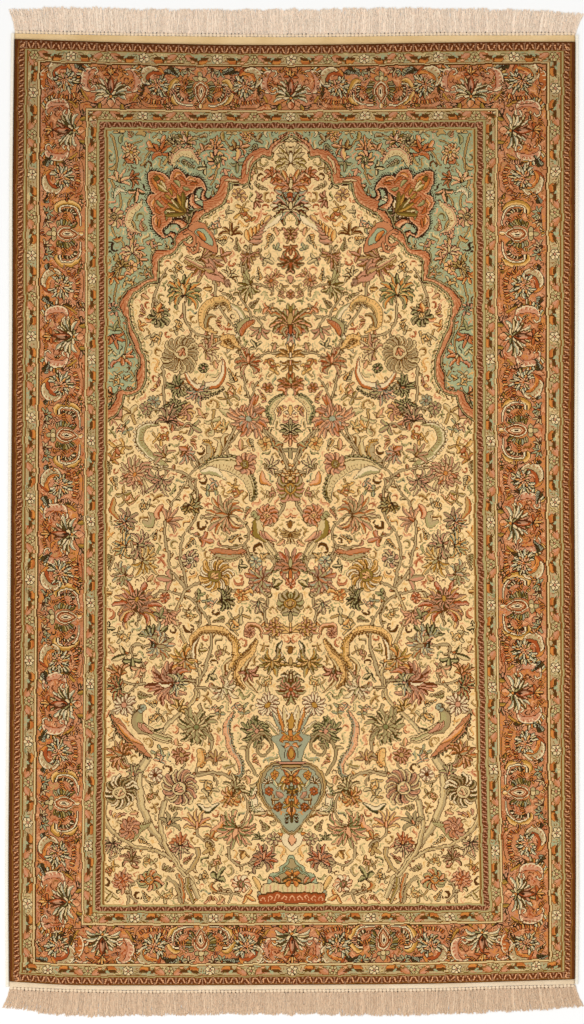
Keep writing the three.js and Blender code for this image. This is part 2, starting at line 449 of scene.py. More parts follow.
# Main flowers of the left half of the field: kind, middle, size, way it points, silks
fieldFlowers = table("""
palmette -25 546 14 40 mauve rust brick cream
daisy -84 514 11 0 orange mauve grey
lily -54 506 12 100 mauve maroon tan
sprig -100 487 10 90 grey
lily -97 457 15 0 umber maroon tan
frond -54 458 25 38 orange mauve
sprig -22 431 9 20 steel
bud -22 457 11 180 rust
spiky -135 405 25 130 mauve umber maroon
lily -117 380 13 80 mauve tan grey
sprig -106 419 14 70 mauve umber
spiky -66 413 13 180 umber mauve rust
sprig -36 409 12 120 grey
daisy -32 377 12 0 mauve tan rust
spiky -73 367 17 250 sage moss teal
palmette -173 364 25 0 slate jade orange sage
rose -212 319 17 200 steel slate grey orange
bud -215 332 13 10 orange rust
comma -228 317 12 240 rust orange
lily -50 294 14 190 mauve grey steel
sprig -38 331 11 240 peach rust
rose -178 258 30 190 olive grey sand brick
spiky -128 271 16 60 mauve tan grey
palmette -68 252 19 0 mauve grey brick rose
daisy -141 237 8 0 steel slate rose
bud -26 272 10 200 mauve
spiky -187 205 15 260 jade slate brick
spiky -148 195 15 160 steel mauve grey
star -67 156 33 10 mauve rust steel
daisy -235 172 10 0 steel mauve rose
daisy -220 185 9 0 slate steel mauve
rose -170 168 15 60 orange mauve rose rust
spiky -184 178 12 40 jade slate sage
sprig -190 148 16 200 mauve rust
spiky -197 160 14 20 slate mauve rust
sprig -154 140 15 120 steel mauve
lily -207 101 16 330 mauve grey umber
lily -165 95 14 120 mauve steel maroon
bud -172 106 13 300 maroon rust
daisy -42 117 11 0 orange tan rust
sprig -22 112 12 60 steel rust
star -250 66 30 0 mauve grey rust
daisy -250 66 14 20 rust grey orange
rose -70 84 17 110 rust mauve olive moss
lily -30 81 12 60 grey mauve sage
spiky -212 50 18 210 grey mauve slate
lily -260 -3 16 60 slate mauve steel
spiky -272 -14 12 250 steel rust mauve
lily -192 -4 19 60 rose mauve brick
comma -208 4 20 330 rust brick
palmette -112 2 27 275 mauve grey rust olive 11
spiky -158 14 14 130 moss umber orange
rose -36 2 16 30 mauve rust peach orange
daisy -57 -22 9 0 mauve rust grey
sprig -137 -37 15 110 mauve rust
spiky -274 -48 16 280 steel orange jade
spiky -237 -47 18 90 grey mauve steel
spiky -230 -77 19 120 mustard grey steel
palmette -276 -95 17 250 mauve grey steel rust
rose -162 -69 14 0 grey mauve ivory steel
rose -120 -94 27 60 ivory mustard olive mustard 8
daisy -56 -72 10 0 grey steel mauve
sprig -42 -65 10 60 orange grey
palmette -54 -104 21 250 rust mauve steel brick
bud -22 -109 14 60 grey moss
daisy -78 -126 10 0 orange rust tan
comma -66 -124 13 60 orange
spiky -101 -132 14 90 slate moss jade
lily -53 -145 13 200 grey mauve steel
sprig -201 -101 20 280 mauve grey
sprig -146 -124 11 90 jade
palmette -247 -138 31 0 mustard mauve brick rust 11
daisy -247 -134 16 20 mauve slate mustard
daisy -203 -132 8 0 rust brick mauve
spiky -198 -164 15 200 rose mauve peach
sprig -209 -157 12 20 slate jade
spiky -217 -192 20 50 steel slate mauve
palmette -206 -209 20 100 rust steel grey slate
sprig -274 -226 19 250 teal slate
sprig -255 -236 16 180 jade slate
palmette -176 -234 19 240 mustard orange olive mauve
rose -66 -186 9 0 rust mauve rose brick
star -26 -178 17 0 mustard mauve umber
palmette -30 -239 18 180 olive moss mustard umber
lily -66 -253 14 160 mauve maroon slate
palmette -204 -268 29 275 rust mauve maroon ivory
spiky -180 -268 14 90 steel grey maroon
palmette -106 -283 19 150 mauve grey ivory steel 11
spiky -281 -252 15 300 umber rust brick
spiky -282 -274 15 260 jade brick steel
sprig -246 -250 14 200 rust grey
daisy -268 -303 19 0 ivory mauve rose 7
lily -178 -306 13 30 mustard moss olive
daisy -38 -303 20 0 ivory mauve mustard
star -57 -345 26 0 jade slate rose 12
star -152 -338 30 180 sage slate jade 11
lily -120 -386 14 0 umber mauve rust
daisy -178 -385 15 0 mauve umber tan 6
daisy -215 -415 11 0 ivory mauve maroon
rose -177 -435 28 60 grey mauve sand maroon 11
palmette -277 -379 20 300 mauve umber rust slate
lily -253 -411 13 350 steel mauve rust
rose -272 -441 26 30 ivory slate sand tan 9
spiky -84 -437 15 70 sage slate jade
palmette -98 -455 15 210 umber rust mustard mauve
lily -150 -489 20 0 orange mauve rust 7
lily -190 -488 15 30 slate grey rust
rose -258 -500 16 120 brick mauve peach maroon
spiky -285 -531 13 200 grey mauve slate
spiky -177 -521 14 0 brick rust orange
spiky -177 -535 13 180 grey mauve sand
palmette -90 -508 26 200 mauve jade peach rust 9
lily -52 -516 9 0 steel slate jade
daisy -29 -517 10 0 grey mauve sage
palmette -44 -546 19 10 slate mauve brick rust 9
sprig -127 -513 12 20 umber rust
sprig -133 -536 13 240 umber tan
spiky -254 -546 12 0 mauve slate umber
star -268 -584 17 0 rust mauve brick
rose -224 -583 18 90 jade rust orange teal
rose -80 -589 14 30 rust ivory jade maroon
sprig -115 -575 17 30 steel slate
comma -120 -592 15 300 umber rust
daisy -47 -606 8 0 slate steel rust 6
""")

# Stems of the left half: width, for a trunk the silk of its bark, and its points
fieldStems = table("""
2.4 -30,-15 -10,20 -14,60 -8,90 -30,130 -55,150 -70,200 -80,250 -84,290 -64,320 -82,352 -75,370
2.4 -2,68 -20,105 -46,145 -58,165
2.2 -118,85 -100,120 -80,160 -58,200 -45,222
2.4 -205,240 -206,200 -200,160 -196,140
2.2 -173,340 -170,310 -150,290 -110,285 -80,265 -68,250
2.2 -125,380 -122,350 -112,330 -92,300 -76,270
2.2 -222,350 -210,380 -200,395
2.2 -60,320 -44,300 -40,285
2.2 -10,262 -30,260 -60,254
2.2 -160,60 -185,72 -230,78 -250,66
2.4 -148,10 -152,40 -165,62 -152,78 -120,95 -100,112 -80,140
2.6 -168,-120 -172,-90 -180,-60 -170,-30 -155,-5 -150,20 -152,60
2.4 -168,-118 -192,-85 -200,-50 -203,-20 -196,15 -175,40 -165,60
2.4 -168,-118 -140,-100 -120,-94
2.2 -145,0 -120,-5 -90,0 -72,-15 -68,-35 -78,-50 -110,-48
2.2 -272,-10 -258,-40 -252,-70 -258,-95 -270,-100
2.2 -252,-70 -240,-60 -237,-50
2.2 -212,-120 -180,-125 -155,-138 -145,-160 -150,-178
2.2 -110,-120 -60,-120 -38,-130 -40,-150 -55,-155
5 sand -150,-290 -148,-255 -158,-225 -172,-200 -185,-165 -180,-140 -170,-118
3.6 -150,-270 -138,-240 -128,-210 -130,-180 -142,-150 -150,-138
5 sand -205,-345 -185,-322 -165,-305 -152,-285 -150,-262
3.2 -148,-300 -138,-325 -130,-345 -132,-380 -150,-402 -152,-415
2.4 -152,-412 -130,-412 -118,-425 -120,-432
3 -152,-416 -120,-410 -100,-418 -88,-430 -72,-450 -70,-470 -78,-495
2.2 -150,-275 -120,-275 -108,-285
2.2 -232,-268 -250,-270 -275,-262 -290,-240
2.2 -245,-270 -262,-285 -268,-300
2.2 -285,-310 -282,-340 -285,-360
2.4 -255,-208 -230,-208 -215,-200
11 sand -230,-388 -243,-412 -244,-440 -235,-470 -222,-500 -205,-525 -180,-558 -160,-585 -148,-612
7 sand -202,-455 -208,-485 -206,-515 -196,-540 -178,-565 -158,-590
6 tan -150,-530 -148,-548 -156,-562 -168,-572
5.5 sand -295,-450 -298,-480 -285,-505 -262,-520 -248,-530 -215,-535 -192,-552
5 grey -198,-578 -186,-590 -178,-605 -176,-620
6 rust -180,-575 -176,-590 -172,-605 -172,-620
6 olive -168,-580 -166,-595 -160,-608 -156,-620
3 -262,-620 -258,-606 -252,-612 -244,-620
2.2 -290,-550 -275,-540 -262,-528
2.2 -150,-490 -150,-508 -140,-520
2.2 -100,-620 -92,-605 -78,-610
2.2 -178,-410 -170,-400 -178,-390
2.2 -252,-430 -246,-415 -250,-400
3 -100,-530 -98,-550 -84,-560 -70,-556
""")

# Long leaves: width, silk, second silk, teeth if above 0, and their points
fieldBlades = table("""
11 ivory sand 0 -34,498 -22,494 -22,478 -40,462 -60,451
8 ivory sage 0 -104,260 -86,285 -75,305 -84,330 -108,340 -124,332
11 orange tan 9 -122,292 -142,306 -142,330 -124,346 -104,342 -96,325
7 slate umber 0 -138,300 -134,318 -120,322
9 steel grey 6 -80,288 -84,303 -66,318
9 brick rust 0 -80,288 -76,303 -60,314
9 mustard umber 5 -80,268 -98,286 -112,280 -90,266
11 ivory rust 0 -172,232 -160,213 -140,205 -118,212 -108,232 -112,252
9 grey slate 9 -170,212 -152,198 -128,196 -108,208
12 steel ivory 12 -198,80 -228,98 -244,120 -236,142 -212,146
10 olive mustard 6 -150,88 -132,96 -132,114 -144,117
9 sand tan 0 -132,76 -118,98 -114,122 -126,128
7 tan umber 0 -108,110 -108,126 -98,131
20 sage moss 12 -150,76 -120,84 -92,80 -72,62 -62,38 -66,22
12 ivory sage 0 -148,74 -124,72 -104,58
9 rust orange 0 -46,70 -44,54 -30,50
10 grey sage 0 -118,168 -100,164 -84,158
10 teal jade 8 -4,194 -24,182 -32,166 -28,145
11 olive sage 0 -240,-8 -226,-14 -222,0 -230,8
9 umber rust 0 -285,30 -286,8 -276,-8
9 brick rust 8 -72,-56 -95,-59 -132,-52
7 olive sage 6 -80,-62 -100,-66 -124,-60
9 olive moss 8 -46,-63 -26,-66 -24,-84 -38,-90
7 rose umber 0 -62,-20 -44,-30 -22,-62
9 mustard umber 9 -158,-218 -158,-192 -134,-180 -104,-186 -88,-208 -92,-228
9 orange mustard 10 -100,-245 -90,-226 -90,-204 -102,-190
6 ivory umber 0 -150,-245 -156,-214 -148,-192
6 sand umber 0 -104,-258 -108,-238 -92,-224
10 mustard umber 13 -52,-198 -64,-216 -80,-236 -84,-262 -72,-276
6 sand umber 0 -52,-284 -72,-264 -72,-240 -60,-220
6 rose umber 0 -74,-190 -68,-174 -50,-178 -43,-198
7 ivory slate 0 -14,-200 -20,-218 -8,-236
8 teal slate 6 -200,-354 -222,-343 -242,-332 -248,-318 -238,-304
14 brick slate 10 -286,-318 -272,-342 -250,-366 -222,-388
8 rust orange 0 -278,-335 -262,-352 -240,-366
9 rust steel 9 -92,-312 -104,-338 -100,-366 -84,-392 -82,-412 -94,-420
11 mustard orange 5 -152,-372 -144,-388 -150,-402
9 ivory slate 0 -150,-462 -132,-470 -112,-460
10 ivory jade 6 -40,-476 -58,-464 -58,-440 -50,-425
7 sand umber 0 -62,-478 -40,-478 -14,-488
9 rust orange 0 -130,-508 -114,-496 -112,-480
8 moss sage 6 -250,-520 -240,-500 -222,-490
6 teal slate 0 -204,-340 -222,-352 -200,-362
8 mustard tan 0 -62,-575 -54,-588 -50,-600
""")

# The foot of the arch's line on the field side, left half, from the point downwards
archSteps = table("""
0,609 -12,600 -24,590 -29,573
-29,573 -46,573
-46,573 -58,564 -64,550 -65,531
-65,531 -98,530
-98,530 -101,512 -110,499 -124,490 -142,480 -149,470 -152,452 -164,444 -178,432 -190,418 -212,410
-212,410 -213,372
-213,372 -230,370 -246,360 -256,345 -259,326 -255,305 -245,283 -236,262 -232,240 -234,214 -243,198 \
   -256,191
-256,191 -268,189
-268,189 -270,178 -279,164 -290,154 -297,148
""")
spandrelFlowers = table("""
star -259 581 18 340 tan rust mustard 12
comma -262 568 12 250 brick rust
bud -226 592 13 330 peach orange
bud -208 601 13 20 peach orange
palmette -173 605 17 0 tan olive rose ivory
lily -120 592 15 0 peach orange rust 7
rose -121 570 15 0 orange rose jade teal 9
sprig -91 594 11 0 umber
bud -87 578 15 0 orange rose
sprig -87 562 12 180 slate jade
star -68 611 12 0 orange rust mustard
sprig -76 592 13 80 rose umber
lily -212 586 16 20 brick rust umber
comma -217 572 16 20 brick rust
lily -192 575 14 120 umber tan grey
lily -275 540 15 20 tan peach umber
crescent -279 512 14 0 ivory teal
rose -285 478 15 90 mauve tan grey umber
palmette -257 427 17 0 orange rose tan teal
sprig -240 410 11 90 rose umber
spiky -176 494 22 300 tan ivory sage
palmette -170 474 14 120 umber mauve olive mustard
comma -130 546 10 200 rust umber
bud -118 528 9 60 rose umber
lily -253 538 11 90 brick umber rust
sprig -250 513 16 190 rose slate
comma -272 600 13 330 moss jade
comma -245 607 14 60 umber tan
rose -190 602 9 0 slate grey jade teal
comma -146 606 13 60 olive umber
comma -105 608 14 300 umber olive
lily -288 381 15 200 orange rust slate
daisy -258 398 10 0 orange peach umber 6
hook -243 392 10 40 slate
rose -286 331 11 0 rust mauve teal jade 7
sprig -285 302 13 10 moss jade
lily -285 283 14 160 brick rust maroon
lily -268 251 15 150 rose rust tan
comma -285 240 12 0 maroon brick
comma -264 382 11 20 rose rust
spiky -278 400 12 330 olive umber mustard
comma -284 415 12 150 umber tan
bud -262 447 10 350 rust rose
comma -290 560 11 200 umber tan
hook -267 553 10 120 slate
comma -283 447 14 200 umber rust
sprig -142 590 12 320 rust umber
hook -150 583 10 200 umber
bud -106 550 12 160 rust rose
palmette -290 188 15 200 salmon rust slate peach
sprig -52 604 12 40 olive umber
comma -38 612 9 320 tan ivory
""")
axisFlowers = table("""
palmette 0 575 23 0 tan olive sand ivory
palmette 0 536 22 0 orange rust mauve tan 11
lily 0 508 24 180 mauve steel brick
palmette 0 497 22 0 steel maroon teal sage
star 0 452 13 0 umber mauve maroon
lily 0 430 11 180 brick umber tan
palmette 0 403 17 180 maroon slate brick steel
bud 0 378 11 0 mauve tan
daisy 0 355 7 0 mauve umber rust 6
palmette 0 296 24 180 steel mauve brick teal
palmette 0 318 27 0 olive moss rust umber 11
lily 0 262 17 0 orange umber ivory
lily 0 242 15 180 tan umber peach
palmette 0 216 18 0 maroon umber brick jade 11
comma -16 199 12 60 peach rust
bud 0 168 13 0 orange ivory
hook -10 158 15 200 maroon
palmette 0 141 14 0 steel slate grey jade
lily 0 124 12 180 rust umber rose
sprig 0 102 14 180 slate grey
rose 0 46 23 0 mauve olive mustard moss 12
star 0 66 13 0 orange tan umber
bud 0 -10 10 180 ivory umber
spiky 0 -32 12 180 tan umber rust
palmette 0 -74 21 0 maroon mauve brick steel 11
sprig 0 -92 14 180 slate rust
daisy 0 -106 8 0 rust brick mauve 6
rose 0 -138 20 0 olive moss mustard umber 12
sprig 0 -160 13 180 steel grey
lily 0 -180 12 0 orange tan rust
bud 0 -212 12 180 orange umber
sprig 0 -236 12 0 umber slate
palmette 0 -258 15 0 sage slate ivory grey
star 0 -278 21 0 maroon jade brick 10
""")

vase = {
    "lip": [(3, -343), (8, -341), (26, -351), (31, -357), (27, -364), (21, -376), (16, -390), (15, -396)],
    "body": [(3, -404), (8, -402), (20, -401), (36, -406), (46, -418), (48, -434), (43, -452), (33, -470),
             (21, -486), (10, -498), (3, -505)],
    "drop": [(2, -502), (11, -507), (16, -516), (13, -526), (6, -532), (2, -536)],
    "dome": [(2, -544), (5, -551), (12, -558), (20, -563), (22, -570), (32, -574), (37, -581), (39, -589)],
}


def turned(c, profile, silk, edge="ink"):
    # A vessel seen from the side, from the profile of its right half
    p = smooth(profile)
    c.shape(np.vstack([p, (p * (-1, 1))[::-1]]), silk, edge)


def bothSides(c, kind, x, y, size, turn, *look):
    kinds[kind](c, x, y, size, turn, *look)
    kinds[kind](c, -x, y, size, -turn, *look)


def paintVase(c):
    c.soft = False
    # the plinth: a striped slab, with a running scroll below it
    c.shape([(-46, -590), (46, -590), (50, -596), (48, -603), (-48, -603), (-50, -596)], "sand")
    for i, x in enumerate(np.arange(-44, 45, 3.1)):
        c.line([(x, -592), (x, -602)], 1.3, ("rose", "sand", "sage", "sand")[i % 4])
    c.shape([(-52, -605), (52, -605), (54, -620), (-54, -620)], "brick")
    for x in np.arange(-46, 47, 11.5):
        c.line(smooth([(x - 5, -616), (x - 1, -609), (x + 3, -611), (x + 1, -615)]), 1.4, "peach")
    turned(c, vase["dome"], "teal")
    turned(c, [(x * 0.8, y * 0.85 - 87) for x, y in vase["dome"]], "grey", "slate")
    palmette(c, 0, -577, 12, 0, "rust", "orange", "slate", "sand", 7)
    for side in (-1, 1):
        c.leaf(side * 19, -587, 14, side * 20, 0.36, "rust", "rose", bend=side * 60)
        c.leaf(side * 30, -587, 9, side * 20, 0.4, "brick", "rose", bend=side * 60)
        c.line(smooth(np.array([(3, -566), (10, -564), (15, -570), (24, -574), (30, -582)]) * (side, 1)),
               1.3, "teal", "slate")
        for k in range(4):
            c.leaf(side * 2, -506, 26 - 2 * k, side * (172 - 22 * k), 0.26,
                   ("sand", "peach", "orange", "sage")[k], None, "bark", bend=-side * (20 + 34 * k),
                   hook=1.6)
    turned(c, vase["drop"], "ivory", "bark")
    c.leaf(0, -528, 20, 0, 0.5, "peach", "orange", "bark")
    # handles, each a cord that ends in a spiral
    for side in (-1, 1):
        for path, thick in (([(28, -358), (44, -352), (60, -357), (69, -370), (70, -390), (62, -404),
                              (57, -416)], 3.6),
                            ([(62, -358), (54, -350), (41, -352), (33, -363), (35, -378), (46, -384),
                              (54, -377), (52, -367), (45, -367)], 3.0)):
            c.line(smooth(np.array(path) * (side, 1)), thick, "grey", "bark")
        c.leaf(side * 70, -372, 12, side * 60, 0.36, "sand", "grey", bend=side * 60)
        for y, reach in ((-428, 57), (-444, 56), (-460, 49), (-475, 39), (-489, 27)):
            c.leaf(side * reach, y, 12, side * 150, 0.34, "peach" if y in (-444, -475) else "sand", "grey",
                   "bark", bend=-side * 110, hook=1.6)
    turned(c, [(x * 1.13, -450 + (y + 450) * 1.08) for x, y in vase["body"]], "tan", "bark")
    turned(c, [(x * 1.06, -450 + (y + 450) * 1.04) for x, y in vase["body"]], "grey", "bark")
    turned(c, [(x * 0.97, -452 + (y + 452) * 0.97) for x, y in vase["body"]], "steel", "ink")
    for spot in [("lily", -38, -424, 9, 0, "ivory", "slate", "umber"),
                 ("daisy", -27, -416, 6.5, 0, "orange", "mustard", "rust", 6),
                 ("daisy", -36, -441, 6.5, 0, "brick", "rust", "rose", 6),
                 ("comma", -18, -437, 10, 30, "olive", "sand"),
                 ("daisy", -20, -466, 7, 0, "maroon", "rust", "mauve", 6),
                 ("sprig", -27, -454, 9, 90, "sand", "umber"),
                 ("tendril", -42, -431, 8, 10, "umber"), ("hook", -10, -486, 9, 160, "ink"),
                 ("hook", -30, -466, 9, 250, "umber"),
                 ("comma", -14, -409, 8, 90, "rose", "brick"), ("leaflet", -14, -475, 8, 200, "orange")]:
        bothSides(c, *spot)
    c.disc(0, -443, 9.5, "jade", "ink")
    palmette(c, 0, -420, 12, 0, "rust", "brick", "orange", "mustard", 9)
    palmette(c, 0, -444, 9, 180, "steel", "slate", "mustard", "rust", 7)
    lily(c, 0, -463, 12, 180, "mustard", "olive", "umber")
    lily(c, 0, -482, 9, 180, "steel", "slate", "maroon")
    for side in (-1, 1):
        # the notch of its heart, and leaves that hang inside
        c.line(smooth(np.array([(0, -414), (5, -408), (14, -405), (26, -407)]) * (side, 1)), 1.6, "sand",
               "bark")
        for x, y, turn, look in ((14, -424, 120, ("honey", "mustard")), (16, -436, 140, ("sand", "olive")),
                                 (12, -454, 160, ("orange", "rust")),
                                 (8, -472, 170, ("peach", "orange")), (34, -428, 190, ("sand", "teal")),
                                 (30, -446, 200, ("rose", "mauve"))):
            c.leaf(side * (x - 6), y + 5, 14, side * turn, 0.34, *look, "bark", bend=side * 40)
    turned(c, vase["lip"], "steel", "slate")
    lily(c, 0, -354, 13, 0, "orange", "mustard", "rust")
    for side in (-1, 1):
        c.leaf(side * 8, -352, 12, side * 120, 0.4, "orange", "rust")
        c.line(smooth(np.array([(19, -364), (11, -372), (11, -388)]) * (side, 1)), 1.3, "ink")
        c.leaf(side * 3, -366, 11, side * 80, 0.5, "peach", "orange", "bark", bend=side * 60)
    c.leaf(0, -392, 24, 0, 0.5, "rust", "orange")
    c.leaf(0, -388, 16, 0, 0.5, "mustard", "peach")
    c.line([(-20, -396), (20, -396)], 2.4, "rose", "ink")
    c.line([(-14, -401), (14, -401)], 2.0, "tan", "bark")
    # what stands in it
    for side in (-1, 1):
        for x, y, size, turn, silk in [(30, -342, 30, 48, "sage"), (20, -338, 36, 30, "steel"),
                                       (13, -340, 40, 19, "orange"), (7, -340, 44, 9, "sand")]:
            c.leaf(side * x * 0.6, y - 6, size, side * turn, 0.22, silk, "ivory", vein="umber")
    c.leaf(0, -342, 30, 0, 0.3, "mustard", "orange", vein="bark")


def bird(c, body, tail, head, beak, feathers):
    # a small bird on a stem: body, tail and head as points
    coat, back, wing = feathers
    for shift, silk in ((3.0, back), (-3.0, back), (0, coat)):
        c.blade(np.array(tail) + (shift * 0.4, shift), 5, silk, "sand", belly=0.55)
    c.blade(body, 17, coat, back, belly=0.42)
    c.line([body[0], head], 7.5, coat, "line")
    c.line([body[0], head], 6.5, coat)
    c.disc(*head, 4.8, coat)
    c.line([head, beak], 1.8, "bark")
    c.disc(head[0], head[1] + 0.5, 0.9, "ink", None)
    middle = np.array(body[len(body) // 2], float)
    for k in range(3):
        c.blade([middle + (-3 + 4 * k, 9 - k), middle + (3 + 4 * k, 1 - k), middle + (14 + 4 * k, -7 - k)],
                6, "sand" if k == 1 else wing, "rose")


def paintBirds(c):
    bird(c, [(-241, -312), (-247, -326), (-242, -340), (-226, -349)],
         [(-232, -345), (-212, -354), (-189, -361)],
         (-237, -307), (-248, -311), ("steel", "grey", "maroon"))
    bird(c, [(-53, -3), (-55, -18), (-47, -32), (-38, -42)], [(-44, -34), (-34, -50), (-22, -64)], (-57, 1),
         (-66, -2), ("sage", "olive", "rust"))
    bird(c, [(-106, 376), (-118, 382), (-130, 390), (-140, 400)], [(-134, 394), (-152, 404), (-172, 414)],
         (-104, 372), (-98, 366), ("mauve", "umber", "maroon"))
    for turn, long, look in ((345, 26, ("maroon", "mauve")), (325, 24, ("mauve", "rose")),
                             (305, 22, ("umber", "mauve"))):
        c.leaf(-122, 388, long, turn, 0.28, *look, bend=-20)


# The outside of the arch's band near its point, where it has square corners
archShell = table("""
0,618 -4,609 -12,605 -20,602 -28,598 -33,593 -35.5,587
-35.5,587 -51,587
-51,587 -60,585 -69.5,577 -76,567 -79,556 -80,543
-80,543 -113,542
-113,542 -114,533 -116,525 -121,516 -130,508 -142,503
""")


def pathOf(parts):
    return np.vstack([smooth(part) if len(part) > 2 else np.array(part, float) for part in parts])


def paintBand(c, low):
    # the arch's band, from its line on the field side outwards
    part, gap = c.gap(low, 22)
    beyond, outside = c.inside(np.vstack([low, [(-300, 148), (-300, 640), (0, 640)]]))
    full, crown = np.zeros_like(c.knots, bool), np.zeros_like(c.knots, bool)
    full[beyond] = outside
    beyond, outside = c.inside(np.vstack([pathOf(archShell), [(-142, 480), (-64, 520), (4, 600)]]))
    crown[beyond] = outside
    crown &= full
    x, y = c.xs[part[1]][None], c.ys[part[0]][:, None]
    # further down its coloured part swells and shrinks along its way
    swell = 1.06 + 0.4 * np.sin(x / 19 + y / 16 + np.sin(y / 17))
    lower = full[part] & ~((x > -142) & (y > 480))
    rows = [("salmon", 4.2, 11.0 * swell), ("ink", 11.0 * swell, 12.5 * swell),
            ("grey", 12.5 * swell, 12.5 * swell + 1.4), ("slate", 12.5 * swell + 1.4, 12.5 * swell + 2.6)]
    for silk, near, far in rows:
        c.knots[part][lower & (gap >= near) & (gap < far)] = number[silk]
    c.paint((slice(None), slice(None)), crown, "salmon")
    c.knots[widen(crown, 1) & ~crown & full] = number["ink"]
    streak = full[part] & (gap > 4.6) & (gap < 6.6) & (np.sin(x * 0.75 + y * 0.6) > 0.1)
    c.knots[part][streak] = number["peach"]
    wave = np.sin(1.5 * gap + x * 0.5 + y * 0.4)
    streak = (c.knots[part] == number["salmon"]) & (gap > 8.0) & (wave > 0.55)
    c.knots[part][streak] = number["brick"]
    for silk, near, far in (("ink", 0, 1.5), ("sage", 1.5, 3.0), ("bark", 3.0, 4.2)):
        c.knots[part][full[part] & (gap >= near) & (gap < far)] = number[silk]
    # the leaves that lie in its lobes
    for path in ([(-60, 578), (-69, 566), (-72, 546)], [(-11, 599), (-21, 594), (-30, 582)],
                 [(-84, 537), (-96, 538), (-108, 535)]):
        c.blade(path, 4.5, "tan", "rose", "bark")


def paintHairs(c):
    # small dark leaves that grow from the arch into the field
    for path in (archSteps[4][2:], archSteps[6]):
        s = smooth(path, 8)
        step = np.hypot(*np.diff(s, axis=0).T)
        t = np.concatenate([[0], np.cumsum(step)])
        for k, at in enumerate(np.arange(4, t[-1] - 3, 5.2)):
            i = int(np.searchsorted(t, at))
            way = s[min(i + 1, len(s) - 1)] - s[i - 1]
            turn = math.degrees(math.atan2(way[0], way[1]))
            c.leaf(*s[i], 9.5 + 2.5 * unlike(k), turn - 52, 0.24, ("slate", "moss", "bark")[k % 3], None,
                   None, bend=60, hook=1.5)
            c.leaf(*s[i], 5.5, turn - 80, 0.3, ("jade", "umber")[k % 2], None, None)


def hairyEdge(c, outline, silk, thick, length):
    # a heavy closed line with short strokes that lean outwards
    edge = smooth(outline, 6, True)
    c.line(np.vstack([edge, edge[:1]]), thick, silk)
    for a, b in zip(edge[::2], np.roll(edge, -2, 0)[::2]):
        way = (b - a) / max(np.hypot(*(b - a)), 1e-6)
        side = np.array([-way[1], way[0]])
        c.line([a, a + side * length + way * length * 0.8], 1.4, silk)
    return edge


def paintSplitLeaf(c):
    # the big split leaf of the spandrel: one arm along the rug, and its mirror image across it
    pivot = np.array([-231.0, 551.0])

    def flipped(points, flip):
        p = np.array(points, float)
        return pivot - (p - pivot)[:, ::-1] * (1.0, 1.12) if flip else p

    # two curls that lead from its arms to the arch
    for flip in (False, True):
        for points, wide in (([(-157, 520), (-160, 508), (-155, 496), (-144, 488), (-131, 486), (-119, 492),
                               (-109, 503)], 9),
                             ([(-139, 525), (-142, 514), (-137, 506), (-129, 507), (-128, 514)], 4)):
            path = flipped(points, flip)
            c.blade(path, wide + 4.0, "ink", None, "ink", belly=0.45)
            c.blade(path, wide, "salmon", "peach", None, belly=0.45)
    arm = [(-231, 551), (-222, 551), (-212, 549), (-204, 543), (-199, 536), (-198, 543), (-195, 549),
           (-188, 553), (-179, 551), (-172, 545),
           (-169, 540), (-164, 544), (-156, 545), (-148, 541), (-141, 533), (-137.5, 522), (-143, 528),
           (-150, 529), (-156, 524), (-160, 517), (-167, 512), (-174, 507), (-183, 511), (-191, 510)]
    outline = np.vstack([arm, flipped(arm, True)[::-1][:-1]])
    edge = hairyEdge(c, outline, "ink", 4.4, 5.5)
    c.shape(edge, "salmon", None)
    c.line(np.vstack([edge, edge[:1]]) * 0.985 + edge.mean(0) * 0.015, 1.5, "peach")
    for flip in (False, True):
        for points, width, look in (
                ([(-224, 545), (-214, 541), (-205, 534)], 6, ("orange", "rust")),
                ([(-213, 536), (-207, 529), (-202, 520)], 6, ("sand", "olive")),
                ([(-193, 541), (-185, 545), (-178, 545)], 5, ("orange", "peach")),
                ([(-190, 538), (-184, 533), (-180, 526)], 5, ("sage", "jade")),
                ([(-181, 541), (-174, 537), (-170, 530)], 5, ("brick", "rust")),
                ([(-195, 531), (-189, 524), (-184, 516)], 5, ("brick", "rust")),
                ([(-167, 538), (-160, 540), (-153, 537)], 4.5, ("orange", "peach")),
                ([(-175, 524), (-169, 521), (-163, 522)], 4.5, ("sage", "jade")),
                ([(-164, 532), (-157, 533), (-150, 534)], 3.5, ("brick", "rust")),
                ([(-198, 524), (-194, 518), (-192, 513)], 4, ("mustard", "olive"))):
            c.blade(flipped(points, flip), width, *look, "bark")
    for turn, silk in ((346, "mustard"), (290, "sand"), (325, "sand"), (308, "mustard"), (0, "olive"),
                       (275, "olive")):
        c.leaf(-170, 484, 34, turn - 10, 0.2, silk, "moss", "bark", belly=0.6)
    for turn in (95, 135, 175):
        c.leaf(-170, 484, 13, turn, 0.42, "mauve" if turn == 135 else "slate", "grey", "ink", belly=0.5)
    c.disc(-220, 540, 3.4, "moss", "ink")


